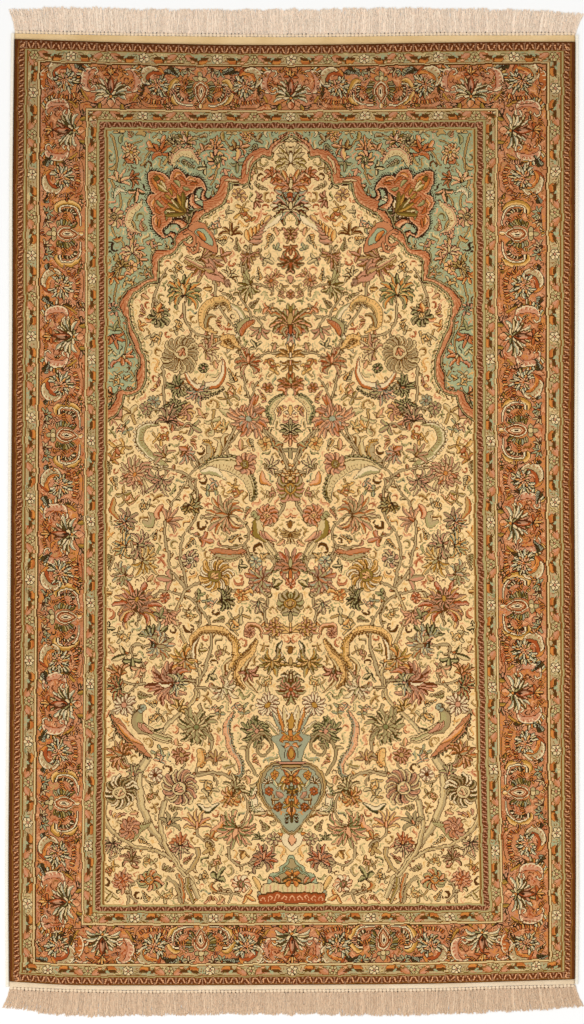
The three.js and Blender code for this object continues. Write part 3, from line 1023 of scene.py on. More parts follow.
def paintSpandrel(c):
    c.soft, c.outline = True, "bark"
    low = pathOf(archSteps)
    beyond, outside = c.inside(np.vstack([low, [(-300, 148), (-300, 640), (0, 640)]]))
    c.paint(beyond, outside, "teal")
    zone = np.zeros_like(c.knots, bool)
    zone[beyond] = outside
    c.limit = zone
    for stem in [[(-290, 612), (-282, 570), (-288, 530), (-275, 500), (-290, 460), (-268, 425), (-276, 390),
                  (-286, 350), (-280, 310), (-266, 280), (-274, 240)],
                 [(-245, 560), (-222, 588), (-180, 596), (-150, 612)],
                 [(-150, 585), (-112, 606), (-92, 588), (-60, 606)],
                 [(-245, 520), (-262, 505), (-262, 480)], [(-120, 556), (-124, 540), (-130, 530)],
                 [(-262, 480), (-250, 462), (-258, 440), (-257, 427)],
                 [(-272, 560), (-262, 590), (-240, 600)], [(-203, 600), (-190, 584), (-192, 570)]]:
        c.blade(stem, 2.4, "tan", None, "bark", stem=True)
    c.outline = "ink"
    for kind, *rest in spandrelFlowers:
        kinds[kind](c, *rest)
    # two big curled leaves, one above and one beside the split leaf
    for path in ([(-190, 556), (-185, 574), (-172, 584), (-157, 578), (-149, 562)],
                 [(-240, 502), (-257, 488), (-263, 472), (-255, 457), (-242, 452)]):
        c.blade(path, 12, "tan", "rose", teeth=1)
    c.soft = False
    paintSplitLeaf(c)
    c.soft = True
    scatter(c, 30, zone, twigs, 17.0, 1500, 1, "teal")
    scatter(c, 31, zone, fieldFillers, 11.0, 1000, 1, "teal")
    scatter(c, 32, zone, tealCurls, 14.0, 1500, 1, "teal")
    scatter(c, 33, zone, tealCurls, 10.0, 2000, 1, "teal")
    scatter(c, 34, zone, tealCurls, 7.5, 2500, 1, "teal")
    c.limit = None
    paintBand(c, low)
    # where the band curls into the field: a ring and a pointed shield
    c.soft = False
    c.shape(smooth([(-166, 460), (-148, 470), (-132, 462), (-124, 446), (-119, 422), (-136, 428),
                    (-150, 436)], 5, True), "salmon", "ink")
    c.shape(smooth([(-155, 456), (-141, 460), (-131, 450), (-126, 434), (-140, 440)], 5, True), "teal",
            "ink")
    c.leaf(-150, 456, 20, 135, 0.36, "orange", "rust", bend=15)
    for path, wide in (([(-172, 452), (-166, 455), (-158, 450), (-156, 440), (-163, 433), (-172, 436)],
                        4.2), ([(-150, 436), (-152, 427), (-160, 424), (-167, 429)], 4.0)):
        c.line(smooth(path), wide + 2.4, "ink")
        c.line(smooth(path), wide, "salmon")
    c.soft = True


tealCurls = table("""
hook 1 slate; tendril 1 umber; hook 1 umber; tendril 1 moss; hook 1 moss; tendril 1 rose; hook 1 bark
leaflet 1 olive; tendril 1 tan; leaflet 1 orange; leaflet 1 rust; tendril 1 ink
""")


def sprouts(c, points, seed, pitch=16):
    # small leaves along a stem, to its left and right by turns
    rng = np.random.default_rng(seed)
    s = smooth(points)
    step = np.hypot(*np.diff(s, axis=0).T)
    t = np.concatenate([[0], np.cumsum(step)])
    side = rng.choice([-1, 1])
    at = rng.uniform(4, pitch)
    while at < t[-1] - 3:
        i = int(np.searchsorted(t, at))
        way = s[min(i + 1, len(s) - 1)] - s[max(i - 1, 0)]
        turn = math.degrees(math.atan2(way[0], way[1]))
        look = (("olive", "moss"), ("tan", "umber"), ("orange", "rust"), ("grey", "slate"),
                ("mauve", "umber"))[rng.integers(5)]
        c.leaf(*s[i], rng.uniform(8, 13), turn + side * 15, 0.32, *look, bend=side * rng.uniform(50, 130),
               belly=0.6, hook=1.6)
        side = -side
        at += rng.uniform(0.6, 1.4) * pitch


def tie(c, flower):
    # a twig from the foot of a flower to the nearest stem
    x, y, size, turn = flower[1:5]
    foot = np.array([x, y]) - heading(turn) * 0.45 * size
    lines = np.vstack([smooth(stem[-1]) for stem in fieldStems])
    away = np.hypot(*(lines - foot).T)
    near = lines[away.argmin()]
    if size > 9 and 7 < away.min() < 62:
        start = foot - heading(turn) * 0.3 * away.min()
        bow = np.array([near[1] - foot[1], foot[0] - near[0]]) * 0.16 * (1 if unlike(x, y) > 0 else -1)
        path = [near, (near + start) / 2 + bow, start, foot]
        sprouts(c, path, int(abs(x) + abs(y)), 13)
        c.blade(path, 2.4, "khaki", None, "bark", stem=True)


def plant(c, flowers):
    # each flower with the outline that goes with its silk
    for flower in flowers:
        c.outline = outlineOf.get(flower[5], "bark")
        kinds[flower[0]](c, *flower[1:])
    c.outline = "bark"


def paintField(c):
    for i, stem in enumerate(fieldStems):
        sprouts(c, stem[-1], i)
    for flower in fieldFlowers:
        tie(c, flower)
    for width, *bark, points in fieldStems:
        c.blade(points, width + 0.8, "khaki", None, "bark", stem=True)
        if bark:
            c.blade(np.array(points) + (width * 0.16, 0), width * 0.5, *bark, None, None, stem=True)
            c.line(smooth(np.array(points) - (width * 0.1, 0))[4:-4], 0.9, "tan")
    for width, one, two, teeth, points in fieldBlades:
        c.outline = outlineOf.get(two, "bark")
        c.blade(points, width, one, two, teeth=teeth)
    plant(c, fieldFlowers)
    paintBirds(c)
    paintHairs(c)


def stamp(c, way, size, turn):
    # a filler on a small chart of its own, -1 where it leaves the ground alone
    reach = int(size * 1.6 / c.knot[0]) + 3
    x, y = c.knot * (reach + 0.5)
    small = Cartoon(2 * reach + 1, 2 * reach + 1, -x, x, -y, y)
    small.knots -= 1
    small.soft, small.outline = c.soft, outlineOf.get(way[2], c.outline)
    kinds[way[0]](small, 0, 0, size * way[1], turn, *way[2:])
    return small.knots


def scatter(c, seed, zone, ways, size, tries, gap, ground):
    # Small fillers, each where it fits with a gap round it
    rng = np.random.default_rng(seed)
    turns = 15      # ways round that each of them is drawn
    stamps = [[stamp(c, way, size * share, turn) for turn in range(0, 360, 360 // turns)]
              for way in ways for share in (0.9, 1.1)]
    shields = [[widen(one >= 0, gap) for one in group] for group in stamps]
    busy = (c.knots != number[ground]) | ~zone
    rows, columns = np.nonzero(~widen(busy, gap + 1))
    for i in rng.permutation(len(rows))[:tries]:
        which, first = rng.integers(len(stamps)), rng.integers(turns)
        for turn in range(first, first + turns, 2):
            one, shield = stamps[which][turn % turns], shields[which][turn % turns]
            reach = len(one) // 2
            row, column = rows[i] - reach, columns[i] - reach
            part = (slice(row, row + len(one)), slice(column, column + len(one)))
            if row < 0 or column < 0 or busy[part].shape != one.shape or (busy[part] & shield).any():
                continue
            c.knots[part] = np.where(one >= 0, one, c.knots[part])
            busy[part] |= one >= 0
            break


twigs = table("""
spray 1 grey orange; spray 1 olive rust; spray 1 tan mauve; spray 1 steel rose; spray 1 mustard brick
spray 1 sage orange
""")
fieldFillers = table("""
sprig 1 grey slate; sprig 1 tan olive; lily 1 rose rust tan; bud 1 rust tan; bud 0.9 mustard umber
lily 1 grey umber tan; lily 1 rose brick tan; frond 0.8 olive moss; daisy 0.7 mauve umber rust 6
fan 1 olive moss; fan 1 rust umber; frond 0.8 grey orange; lily 1 teal slate orange; fan 1 mauve orange
sprig 1 orange rust; frond 0.8 rust steel
""")
curls = table("""
tendril 1 rust; tendril 1 orange; tendril 1 olive; tendril 1 moss; tendril 1 umber; hook 1 rust
hook 1 umber; hook 1 olive; hook 1 bark; hook 1 brick; leaflet 1 orange; leaflet 1 umber; leaflet 1 rust
leaflet 1 olive; tendril 1 sage; leaflet 1 moss; leaflet 1 brick; tendril 1 steel
""")


def fillField(c):
    zone = np.zeros_like(c.knots, bool)
    zone[c.window(np.array([-297, -619]), np.array([-1, 615]))] = True
    for seed, size in enumerate((26.0, 22.0, 18.0, 15.0)):
        scatter(c, 1 + seed, zone, twigs, size, 4000, 1, "cream")
    scatter(c, 5, zone, fieldFillers, 12.5, 3000, 1, "cream")
    for seed, size in enumerate((20.0, 16.0, 13.0, 9.5)):
        scatter(c, 6 + seed, zone, curls, size, 5000, 1, "cream")
    scatter(c, 10, zone, curls + [("speck", 1.0, "umber"), ("speck", 1.0, "orange")], 6.5, 2500, 2, "cream")


# The border's stripes from the edge of the pile inwards: silk, and how deep each reaches
# at the sides, at the arch end and at the bottom end
stripes = table("""
bark 2.4 1.9 0.9
maroon 5.6 2.5 1.6
umber 7.3 3 2.6
maroon 16.4 13.6 12.4
umber 17.5 14.6 13.4
sage 20.6 15.9 14.7
umber 22.6 17.1 15.9
khaki 38 31.2 30
umber 39.5 32.4 31.2
sand 42.2 34.9 33.8
bark 43.7 36.3 35.1
salmon 115.8 105.4 95.4
bark 117.2 106.8 96.7
sand 119.9 109 98.9
umber 121.4 110.4 100.2
khaki 134.2 123 113.8
umber 135.5 124.4 115.2
sage 139 127.2 117.8
maroon 147.6 135.6 125.8
sage 150.8 138.3 127.6
umber 152.4 139.8 128.6
tan 154 141 129.6
""")
zones = {"lattices": (3, 18), "guards": (7, 15), "main": 11}


class Spot:
    # A place in the border, from which up runs towards the field

    def __init__(self, c, x, y, turn, flip=1):
        self.c, self.turn, self.flip = c, turn, flip
        self.base = np.array([x, y], float)
        self.up, self.right = heading(turn), heading(turn + 90) * flip

    def at(self, right, up):
        return self.base + right * self.right + up * self.up

    def put(self, kind, right, up, size, turn, *look):
        kinds[kind](self.c, *self.at(right, up), size, self.turn + self.flip * turn, *look)

    def leaf(self, right, up, length, turn, *look, bend=0, **more):
        self.c.leaf(*self.at(right, up), length, self.turn + self.flip * turn, *look, bend=self.flip * bend,
                    **more)

    def petals(self, right, up, turn, *look, **more):
        self.c.petals(*self.at(right, up), self.turn + self.flip * turn, *look, **more)

    def blade(self, points, *look, **more):
        self.c.blade([self.at(*p) for p in points], *look, **more)

    def ribbed(self, points, *look):
        self.c.ribbed([self.at(*p) for p in points], *look)

    def line(self, points, *look):
        self.c.line(smooth([self.at(*p) for p in points]), *look)

    def comb(self, points, length, lean, looks):
        # petals that stand along a line
        s = smooth([self.at(*p) for p in points], 3)
        for k, p in enumerate(s[1:-1]):
            away = s[min(k + 2, len(s) - 1)] - s[k]
            turn = math.degrees(math.atan2(away[0], away[1])) + self.flip * lean
            self.c.leaf(*p, length * (1 + 0.15 * unlike(k)), turn, 0.34, *looks[k % len(looks)],
                        bend=self.flip * 25, belly=0.58)


def both(place, draw):
    # The same work to the right and to the left of a place
    for flip in (1, -1):
        draw(Spot(place.c, *place.base, place.turn, flip))


def eyeUnit(place):
    def wing(s):
        s.line([(4, -16), (14, -24), (24, -22), (33, -27), (44, -30)], 1.6, "ink")
        # flames round a ring, and a dark comb inside it
        s.comb([(31, -8), (44, -9), (51, 1), (53, 12), (49, 24), (42, 31)], 9, 300,
               (("honey", "mustard"), ("orange", "rust"), ("honey", "orange"), ("peach", "salmon")))
        s.blade([(32, -9), (41, -11), (48, -2), (50, 10), (46, 22), (36, 30)], 8.5, "honey", "mustard")
        s.line([(34, -5), (43, -3), (45, 10), (40, 22), (28, 28), (14, 29)], 2.0, "ivory", "ink")
        s.comb([(37, -3), (41, 5), (40, 14), (35, 21), (26, 25)], 6, 240,
               (("bark", "ink"), ("ivory", "rose"), ("slate", "ink"), ("sand", "bark")))
        # leaves that clasp the eye
        s.comb([(8, -10), (12, -2), (13, 8), (9, 17)], 10.5, 58,
               (("sage", "olive"), ("khaki", "moss"), ("steel", "moss"), ("olive", "slate")))
        s.line([(30, 2), (27, 10), (20, 14)], 1.3, "brick")
        s.put("fan", 28, 2, 9, 30, "orange", "rust")
        s.put("fan", 22, 20, 7, 200, "peach", "brick")
        s.put("lily", 20, -26, 9, 350, "sand", "mauve", "bark")
        s.put("lily", 34, -24, 9, 20, "sage", "steel", "rust")
        s.put("fan", 56, 29, 8, 30, "olive", "mustard")
        s.put("daisy", 50, 31, 5.5, 0, "peach", "rust", "jade", 6)
        s.put("frond", 56, -24, 8, 70, "slate", "steel")
        s.put("fan", 62, -8, 9, 300, "orange", "peach")
        s.put("fan", 62, 10, 9, 330, "brick", "orange")
    both(place, wing)
    s = Spot(place.c, *place.base, place.turn)
    for low, length, width, silk in ((-9, 36, 0.56, "ivory"), (-6, 30, 0.52, "brick"),
                                     (-3.5, 25, 0.46, "peach"), (0, 17, 0.36, "ivory")):
        s.leaf(0, low, length, 0, width, silk, None, "bark", belly=0.42)
    s.leaf(0, 3, 9, 0, 0.36, "ink", None, None)
    s.petals(0, -12, 180, 130, 3, 12, 6.5, "sage", "khaki", bend=50)
    s.c.disc(*s.at(0, -14), 3.6, "sand", "bark")
    s.leaf(0, 26, 8, 0, 0.7, "honey", "ivory", "bark", belly=0.5)


def starUnit(place, flip=1):
    s = Spot(place.c, *place.base, place.turn, flip)
    # a big curled leaf behind the flower
    s.blade([(-12, -2), (-18, -12), (-14, -23), (-3, -27), (6, -25), (13, -18)], 16, "orange", "brick")
    s.ribbed([(-15, 0), (-22, -12), (-17, -25), (-4, -30), (5, -27)], 10, "khaki", "ivory")
    s.line([(-12, -6), (-14, -15), (-8, -22), (0, -24)], 1.6, "brick")
    s.line([(-7, -10), (-9, -16), (-4, -20)], 1.4, "peach")
    s.put("frond", 27, -25, 9, 60, "slate", "steel")
    s.put("fan", -27, -20, 8, 320, "orange", "peach")
    s.comb([(-26, 20), (-14, 27), (0, 29), (14, 27), (25, 22)], 8, 70,
           (("rust", "brick"), ("orange", "rust"), ("peach", "salmon"), ("brick", "rust"),
            ("honey", "orange")))
    s.line([(-28, 15), (-20, 31), (-4, 34), (14, 33), (26, 30)], 1.3, "bark")
    s.put("fan", 25, 6, 9, 60, "peach", "rose")
    s.put("fan", -26, 6, 8, 280, "rose", "orange")
    s.put("tendril", 20, -32, 9, 80, "bark")
    s.c.outline = "ink"
    s.petals(2, -4, 20, 250, 17, 20, 3.3, "steel", "ivory", bend=50, hook=1.5, belly=0.7, uneven=0.2,
             others=("sand", "slate"))
    s.petals(1, -4, 20, 220, 9, 14, 3.0, "ivory", "steel", bend=30, uneven=0.2, others=("honey", "rust"))
    s.petals(0, -4, 200, 110, 5, 10, 3.0, "peach", "rose", bend=40, uneven=0.2, others=("olive", "sand"))
    s.petals(0, -4, 20, 150, 5, 8, 2.4, "peach", "rust", uneven=0.2)
    s.c.disc(*s.at(0, -3), 1.8, "rust", None)


def lotusUnit(place):
    def wing(s):
        s.line([(3, 17), (13, 23), (24, 29), (37, 26), (50, 28)], 1.4, "ink")
        s.line([(3, 19), (10, 30), (22, 33), (34, 31)], 1.2, "bark")
        s.comb([(30, -32), (38, -27), (47, -18), (51, -6)], 9.5, 52,
               (("honey", "mustard"), ("ivory", "teal"), ("orange", "rust"), ("ivory", "moss")))
        s.line([(50, -8), (50, 4), (44, 14), (38, 22)], 3.0, "mustard", "bark")
        s.comb([(51, -6), (50, 4), (46, 12)], 6, 40, (("bark", "moss"), ("slate", "jade")))
        s.ribbed([(30, -28), (40, -23), (44, -10), (42, 3), (32, 9)], 11, "rose", "ivory")
        s.line([(33, -20), (38, -12), (37, -2), (31, 4)], 1.3, "brick")
        s.line([(32, 9), (26, 9), (23, 4), (27, 0), (31, 3)], 1.8, "ivory", "ink")
        s.line([(30, -28), (25, -27), (23, -22), (27, -19)], 1.6, "ivory", "ink")
        s.petals(20, 31, 42, 80, 4, 15, 3.6, "rose", "slate", bend=40, others=("mauve", "rose"))
        s.leaf(17, 27, 14, 20, 0.4, "mustard", "olive", bend=-20)
        s.put("hook", 25, -9, 9, 100, "maroon")
        s.put("fan", 15, -26, 9, 150, "orange", "rust")
        s.put("fan", 46, 20, 8, 70, "peach", "orange")
        s.put("leaflet", 33, -10, 8, 160, "salmon")
        s.leaf(14, 3, 12, 110, 0.34, "umber", "orange", bend=50)
    both(place, wing)
    s = Spot(place.c, *place.base, place.turn)
    s.c.outline = "bark"
    s.petals(0, 16, 180, 160, 13, 31, 4.6, "ivory", "steel", bend=74, hook=1.9, uneven=0.12,
             others=("sand", "slate"))
    s.petals(0, 16, 180, 66, 5, 28, 4.0, "ivory", "slate", bend=34, uneven=0.08, others=("rose", "maroon"))
    s.c.outline = "ink"
    s.leaf(0, 12, 28, 180, 0.32, "maroon", "brick", belly=0.5)
    s.leaf(0, 9, 19, 180, 0.32, "mauve", "rose", None, belly=0.5)
    s.leaf(0, 9, 9, 180, 0.36, "ink", None, None)
    s.petals(0, 15, 0, 240, 6, 12, 3.4, "ivory", "sand", bend=40, others=("slate", "sage"))
    s.c.disc(*s.at(0, 17), 2.0, "orange", "ink")
    s.leaf(0, 22, 12, 0, 0.9, "salmon", "peach", "ink", belly=0.5)
    s.c.disc(*s.at(0, 27), 1.0, "brick", None)
    s.petals(0, -18, 180, 150, 5, 14, 4.0, "brick", "rust", bend=50)
    s.petals(0, -18, 180, 60, 3, 12, 3.0, "honey", "orange", bend=20)


mainRow = {
    "left": {"lotus": (615.7, 285.5, -30.4, -302.0, -618.6), "eye": (450.0, 127.7, -163.0, -460.4),
             "star": (539.0, 368.0, 207.5, 49.0, -94.5, -232.4, -381.4, -539.0)},
    "right": {"lotus": (615.7, 285.5, -13.6, -285.6, -608.0), "eye": (450.0, 135.0, -146.6, -445.5),
              "star": (539.0, 368.0, 212.0, 56.0, -78.0, -216.0, -368.0, -527.0)},
    "top": {"lotus": (-292.5, 0.0, 292.5), "eye": (-146.6, 146.6), "star": (-218.7, -73.0, 73.0, 218.7)},
    "bottom": {"lotus": (-299.0, 0.0, 299.0), "eye": (-143.4, 143.4), "star": (-218.7, -71.3, 71.3, 218.7)},
}
rowMiddle = {"left": (-369.5, 90), "right": (369.5, 270), "top": (687, 180), "bottom": (-686.5, 0)}
mainFillers = table("""
comma 1.2 brick umber; comma 1.2 rose brick; comma 1.1 orange rust; bud 1 peach brick
sprig 1 olive umber; comma 1.1 tan umber; lily 0.9 rose salmon umber; sprig 1 grey slate
""")
mainTwigs = table("""
fan 0.7 orange rust; fan 0.7 peach salmon; fan 0.7 honey orange; fan 0.7 rose brick
fan 0.7 sand mustard; spray 1 ivory orange; spray 1 sage brick; spray 1 steel rose; spray 1 honey rust
spray 1 peach umber; frond 0.6 sand orange
""")
mainCurls = table("""
tendril 1 brick; tendril 1 umber; hook 1 bark; hook 1 rust; hook 1 ink; tendril 1 peach; hook 1 orange
tendril 1 bark; leaflet 1 peach; hook 1 tan; leaflet 1 brick; leaflet 1 orange; tendril 1 maroon
""")


def paintMain(c, zone):
    c.limit = zone
    for row, (middle, turn) in rowMiddle.items():
        for name, places in mainRow[row].items():
            for i, along in enumerate(places):
                x, y = (middle, along) if turn in (90, 270) else (along, middle)
                place = Spot(c, x, y, turn)
                if name == "lotus":
                    lotusUnit(place)
                elif name == "eye":
                    eyeUnit(place)
                else:
                    starUnit(place, 1 if (i % 2) == (turn in (90, 180)) else -1)
    for side in (1, -1):
        for y, turn in ((692, 180), (-686, 0)):
            place = Spot(c, side * 369, y, turn, side)
            place.ribbed([(-31, 16), (-34, 2), (-31, -14), (-24, -24)], 13, "rust", "ivory")
            starUnit(place, side)
    for seed, size in enumerate((15, 12, 9)):
        scatter(c, 18 + seed, zone, mainTwigs, size, 2000, 0, "salmon")
    scatter(c, 21, zone, mainFillers, 10, 1500, 1, "salmon")
    scatter(c, 22, zone, mainCurls, 9.5, 3500, 1, "salmon")
    scatter(c, 23, zone, mainCurls, 6.5, 6000, 1, "salmon")
    hatch(c, zone, "salmon", ("orange", "brick", "peach", "rose"), 1.5)
    c.limit = None


def hatch(c, zone, ground, looks, fine):
    # patches of short strokes in the ground, each patch with a silk of its own
    x, y = c.xs[None, :], c.ys[:, None]
    lean = 1.4 * np.sin(x / 31 + 1.1 * np.sin(y / 43)) + 1.3 * np.sin(y / 27 + 0.9 * np.sin(x / 37))
    stroke = np.sin(fine * (x * np.cos(lean) + y * np.sin(lean)) / 1.6) > 0.25
    patch = np.sin(x / 7.3 + 1.9 * np.sin(y / 11)) + np.sin(y / 6.1 + 1.7 * np.sin(x / 9))
    which = np.floor(2 + 1.99 * np.sin(x / 17 + y / 13 + 2.1 * np.sin(y / 23))).astype(int).clip(0, 3)
    spots = zone & (c.knots == number[ground]) & stroke & (patch > -0.5)
    silk = np.array([number[look] for look in looks])
    c.knots[spots] = silk[which][spots]


def crownUnit(s, shift):
    # an orange leaf under a dark three-pointed one
    s.leaf(shift - 12, 3, 18, 84, 0.46, "orange", "rust", "umber", bend=14)
    for length, turn, bend in ((18, 292, -60), (18, 72, 50), (10, 10, 0)):
        s.leaf(shift + 2, -1, length, turn, 0.3, "bark", None, None, bend=bend, belly=0.4)
    s.leaf(shift - 1, -3, 7, 60, 0.5, "teal", None, None)


def paintGuard(c, zone, middle, starts):
    # middle: depth of the guard's middle at the sides, arch end and bottom end
    c.limit = zone
    left, right, bottom, top = chart["left"], chart["right"], chart["bottom"], chart["top"]
    for name, (first, pitch) in starts.items():
        where = {"left": (left + middle[0], 90), "right": (right - middle[0], 270),
                 "top": (top - middle[1], 180), "bottom": (bottom + middle[2], 0)}
        fixed, turn = where[name]
        for k in range(-20, 21):
            along = first + k * pitch / 2
            x, y = (fixed, along) if turn in (90, 270) else (along, fixed)
            if abs(x) > 448 or abs(y) > 752:      # past the corner
                continue
            for flip in (1, -1):
                w = Spot(c, x, y, turn, flip)
                if k % 2 == 0:
                    crownUnit(w, 0.235 * pitch)
                    w.line([(8, -4), (14, -6), (19, -5), (24, -1)], 1.1, "moss")
                    w.put("speck", 13, 3, 5, 30, "umber")
                else:
                    w.leaf(7, -5, 20, 74, 0.46, "salmon", "rose", "umber", bend=-50)
                    w.leaf(15, 2, 9, 40, 0.4, "peach", None, "umber", bend=60)
                    w.line([(9, 4), (15, 5), (20, 2), (26, 4)], 1.1, "moss")
                    w.put("speck", 20, -4, 5, 100, "brick")
            s = Spot(c, x, y, turn)
            if k % 2 == 0:
                s.put("daisy", 0, 0, 7.6, 0, "ivory", "sand", "rose", 6)
            else:
                c.outline = "bark"
                s.put("daisy", 0, 0, 7.0, 30, "sage", "sand", "rose", 6)
                c.outline = "ink"
    scatter(c, 25, zone, [("speck", 1.0, "umber"), ("speck", 1.0, "olive"), ("speck", 1.0, "rose"),
                          ("speck", 1.0, "moss"), ("speck", 1.0, "teal")], 4.6, 2500, 1, "khaki")
    hatch(c, zone, "khaki", ("teal", "rose", "sage", "sand"), 1.1)
    c.limit = None


def paintBorders(c):
    c.outline, c.soft = "ink", False
    reach = np.array([row[1:] for row in stripes], float)
    depths = (np.minimum(c.xs - chart["left"], chart["right"] - c.xs)[None, :],
              (chart["top"] - c.ys)[:, None], (c.ys - chart["bottom"])[:, None])
    at = [np.searchsorted(reach[:, k], depth) for k, depth in enumerate(depths)]
    stripe = np.minimum(at[0], np.minimum(at[1], at[2]))
    silk = np.array([number[row[0]] for row in stripes] + [0])
    c.knots = np.where(stripe < len(stripes), silk[stripe], c.knots)
    for z in zones["lattices"]:
        for k, along in enumerate((c.ys[:, None], c.xs[None, :], c.xs[None, :])):
            mask = (stripe == z) & (at[k] == z)
            near, far = reach[z - 1, k], reach[z, k]
            t = (depths[k] - near) / (far - near) - 0.5 + 0 * along
            cell = along / (8.0 if k == 0 else 8.3) + 0 * depths[k]
            # dark beads, each with a pale slanting stroke; at the ends the strokes lean to and fro
            lean = np.where(np.floor(cell) % 2 == 0, 1, -1) if k else 1
            f = cell % 1 - 0.5
            stroke = (np.abs(f - 0.5 * t * lean) < 0.11) & (np.abs(t) < 0.36)
            bead = (f / 0.48) ** 2 + (t / 0.6) ** 2 < 1
            c.knots[mask & ~bead] = number["mauve"]
            c.knots[mask & stroke] = number["peach" if z == 3 else "rose"]
    paintGuard(c, stripe == zones["guards"][0], (30.3, 24.2, 23.0),
               {"left": (284.8, 129.6), "right": (284.8, 132.6), "top": (0.0, 119.3),
                "bottom": (0.0, 129.0)})
    paintGuard(c, stripe == zones["guards"][1], (127.8, 116.7, 107.0),
               {"left": (249.2, 129.6), "right": (249.2, 131.4), "top": (0.0, 120.2),
                "bottom": (0.0, 124.0)})
    paintMain(c, stripe == zones["main"])


def weather(c, last, drift):
    # hand knotting never follows the chart quite exactly: shapes drift by a knot or so
    rows, columns = c.knots.shape
    r, q = np.mgrid[0:rows, 0:columns].astype(float)
    dr = drift * (np.sin(q / 9.1 + 1.7 * np.sin(r / 23)) + 0.7 * np.sin(q / 4.7 + r / 13))
    dq = drift * (np.sin(r / 8.3 + 1.9 * np.sin(q / 27)) + 0.7 * np.sin(r / 5.1 - q / 15))
    rr = np.clip(np.rint(r + dr), 0, rows - 1).astype(int)
    qq = np.clip(np.rint(q + dq), 0, last - 1).astype(int)
    c.knots = c.knots[rr, qq]


def paintRug():
    c = Cartoon(**chart)
    paintField(c)
    plant(c, axisFlowers)
    paintVase(c)
    c.soft = True
    fillField(c)
    paintSpandrel(c)
    half = c.knots.shape[1] // 2
    weather(c, half, 0.5)
    c.knots[:, half:] = c.knots[:, :half][:, ::-1]
    paintBorders(c)
    weather(c, 2 * half, 0.4)
    return c

# Shader and geometry node sums written as Python expressions

class Wire:

    def __init__(self, tree, socket):
        self.tree = tree
        self.socket = socket

    def sum(self, operation, *parts):
        node = self.tree.nodes.new("ShaderNodeMath")
        node.operation = operation
        for slot, part in zip(node.inputs, parts):
            plug(self.tree, slot, part)
        return Wire(self.tree, node.outputs[0])

    def __add__(self, other):
        return self.sum("ADD", self, other)

    def __radd__(self, other):
        return self.sum("ADD", other, self)

    def __sub__(self, other):
        return self.sum("SUBTRACT", self, other)

    def __rsub__(self, other):
        return self.sum("SUBTRACT", other, self)

    def __mul__(self, other):
        return self.sum("MULTIPLY", self, other)

    def __rmul__(self, other):
        return self.sum("MULTIPLY", other, self)

    def __truediv__(self, other):
        return self.sum("DIVIDE", self, other)

    def __rtruediv__(self, other):
        return self.sum("DIVIDE", other, self)

    def __mod__(self, other):
        return self.sum("FLOORED_MODULO", self, other)

    def __pow__(self, other):
        return self.sum("POWER", self, other)

    def __rpow__(self, other):
        return self.sum("POWER", other, self)

    def floor(self):
        return self.sum("FLOOR", self)

    def sine(self):
        return self.sum("SINE", self)

    def absolute(self):
        return self.sum("ABSOLUTE", self)

    def least(self, other):
        return self.sum("MINIMUM", self, other)

    def most(self, other):
        return self.sum("MAXIMUM", self, other)

    def equals(self, other):
        return self.sum("COMPARE", self, other, 0.5)


def plug(tree, slot, value):
    if isinstance(value, Wire):
        tree.links.new(value.socket, slot)
    elif value is not None:
        slot.default_value = value


def addNode(tree, kind, settings=None, values=None, output=0):
    # Settings come first, because some of them change the sockets
    node = tree.nodes.new(kind)
    for name, value in (settings or {}).items():
        if name == "stops":
            ramp = node.color_ramp
            while len(ramp.elements) < len(value):
                ramp.elements.new(1.0)
            for element, (place, colour) in zip(ramp.elements, value):
                element.position = place
                element.color = (*colour, 1)
        elif name == "interpolation":
            node.color_ramp.interpolation = value
        else:
            setattr(node, name, value)
    for name, value in (values or {}).items():
        plug(tree, node.inputs[name], value)
    return Wire(tree, node.outputs[output])


def linear(code):
    # A dyer's hex colour as linear light
    parts = [int(code[i:i + 2], 16) / 255 for i in (0, 2, 4)]
    return tuple(p / 12.92 if p <= 0.04045 else ((p + 0.055) / 1.055) ** 2.4 for p in parts)


class Finish:
    # A material round one Principled shader

    def __init__(self, name, **sockets):
        self.material = bpy.data.materials.new(name)
        self.material.use_nodes = True
        self.tree = self.material.node_tree
        self.shader = self.tree.nodes["Principled BSDF"]
        for socket, value in sockets.items():
            self.shader.inputs[socket.replace("_", " ")].default_value = value

    def node(self, kind, settings=None, values=None, output=0):
        return addNode(self.tree, kind, settings, values, output)

    def place(self):
        return self.node("ShaderNodeTexCoord", output="Object")

    def split(self, vector):
        parts = self.tree.nodes.new("ShaderNodeSeparateXYZ")
        plug(self.tree, parts.inputs[0], vector)
        return [Wire(self.tree, socket) for socket in parts.outputs]

    def noise(self, vector, scale, detail=2.0, **more):
        values = {"Vector": vector, "Scale": scale, "Detail": detail, **more}
        return self.node("ShaderNodeTexNoise", None, values, "Fac")

    def attribute(self, name, output="Fac"):
        return self.node("ShaderNodeAttribute", {"attribute_name": name}, None, output)

    def shade(self, colour, factor):
        # the colour made lighter or darker by a number
        return self.node("ShaderNodeVectorMath", {"operation": "SCALE"},
                         {"Vector": colour, "Scale": factor})

    def mix(self, factor, one, two):
        node = self.tree.nodes.new("ShaderNodeMix")
        node.data_type = "RGBA"
        for slot, value in zip([node.inputs[0], node.inputs[6], node.inputs[7]], (factor, one, two)):
            plug(self.tree, slot, (*value, 1) if isinstance(value, tuple) else value)
        return Wire(self.tree, node.outputs[2])

    def bump(self, height, distance, strength=1.0):
        values = {"Height": height, "Distance": distance, "Strength": strength}
        plug(self.tree, self.shader.inputs["Normal"], self.node("ShaderNodeBump", None, values))

    def colour(self, value):
        plug(self.tree, self.shader.inputs["Base Color"], value)

    def rough(self, value):
        plug(self.tree, self.shader.inputs["Roughness"], value)


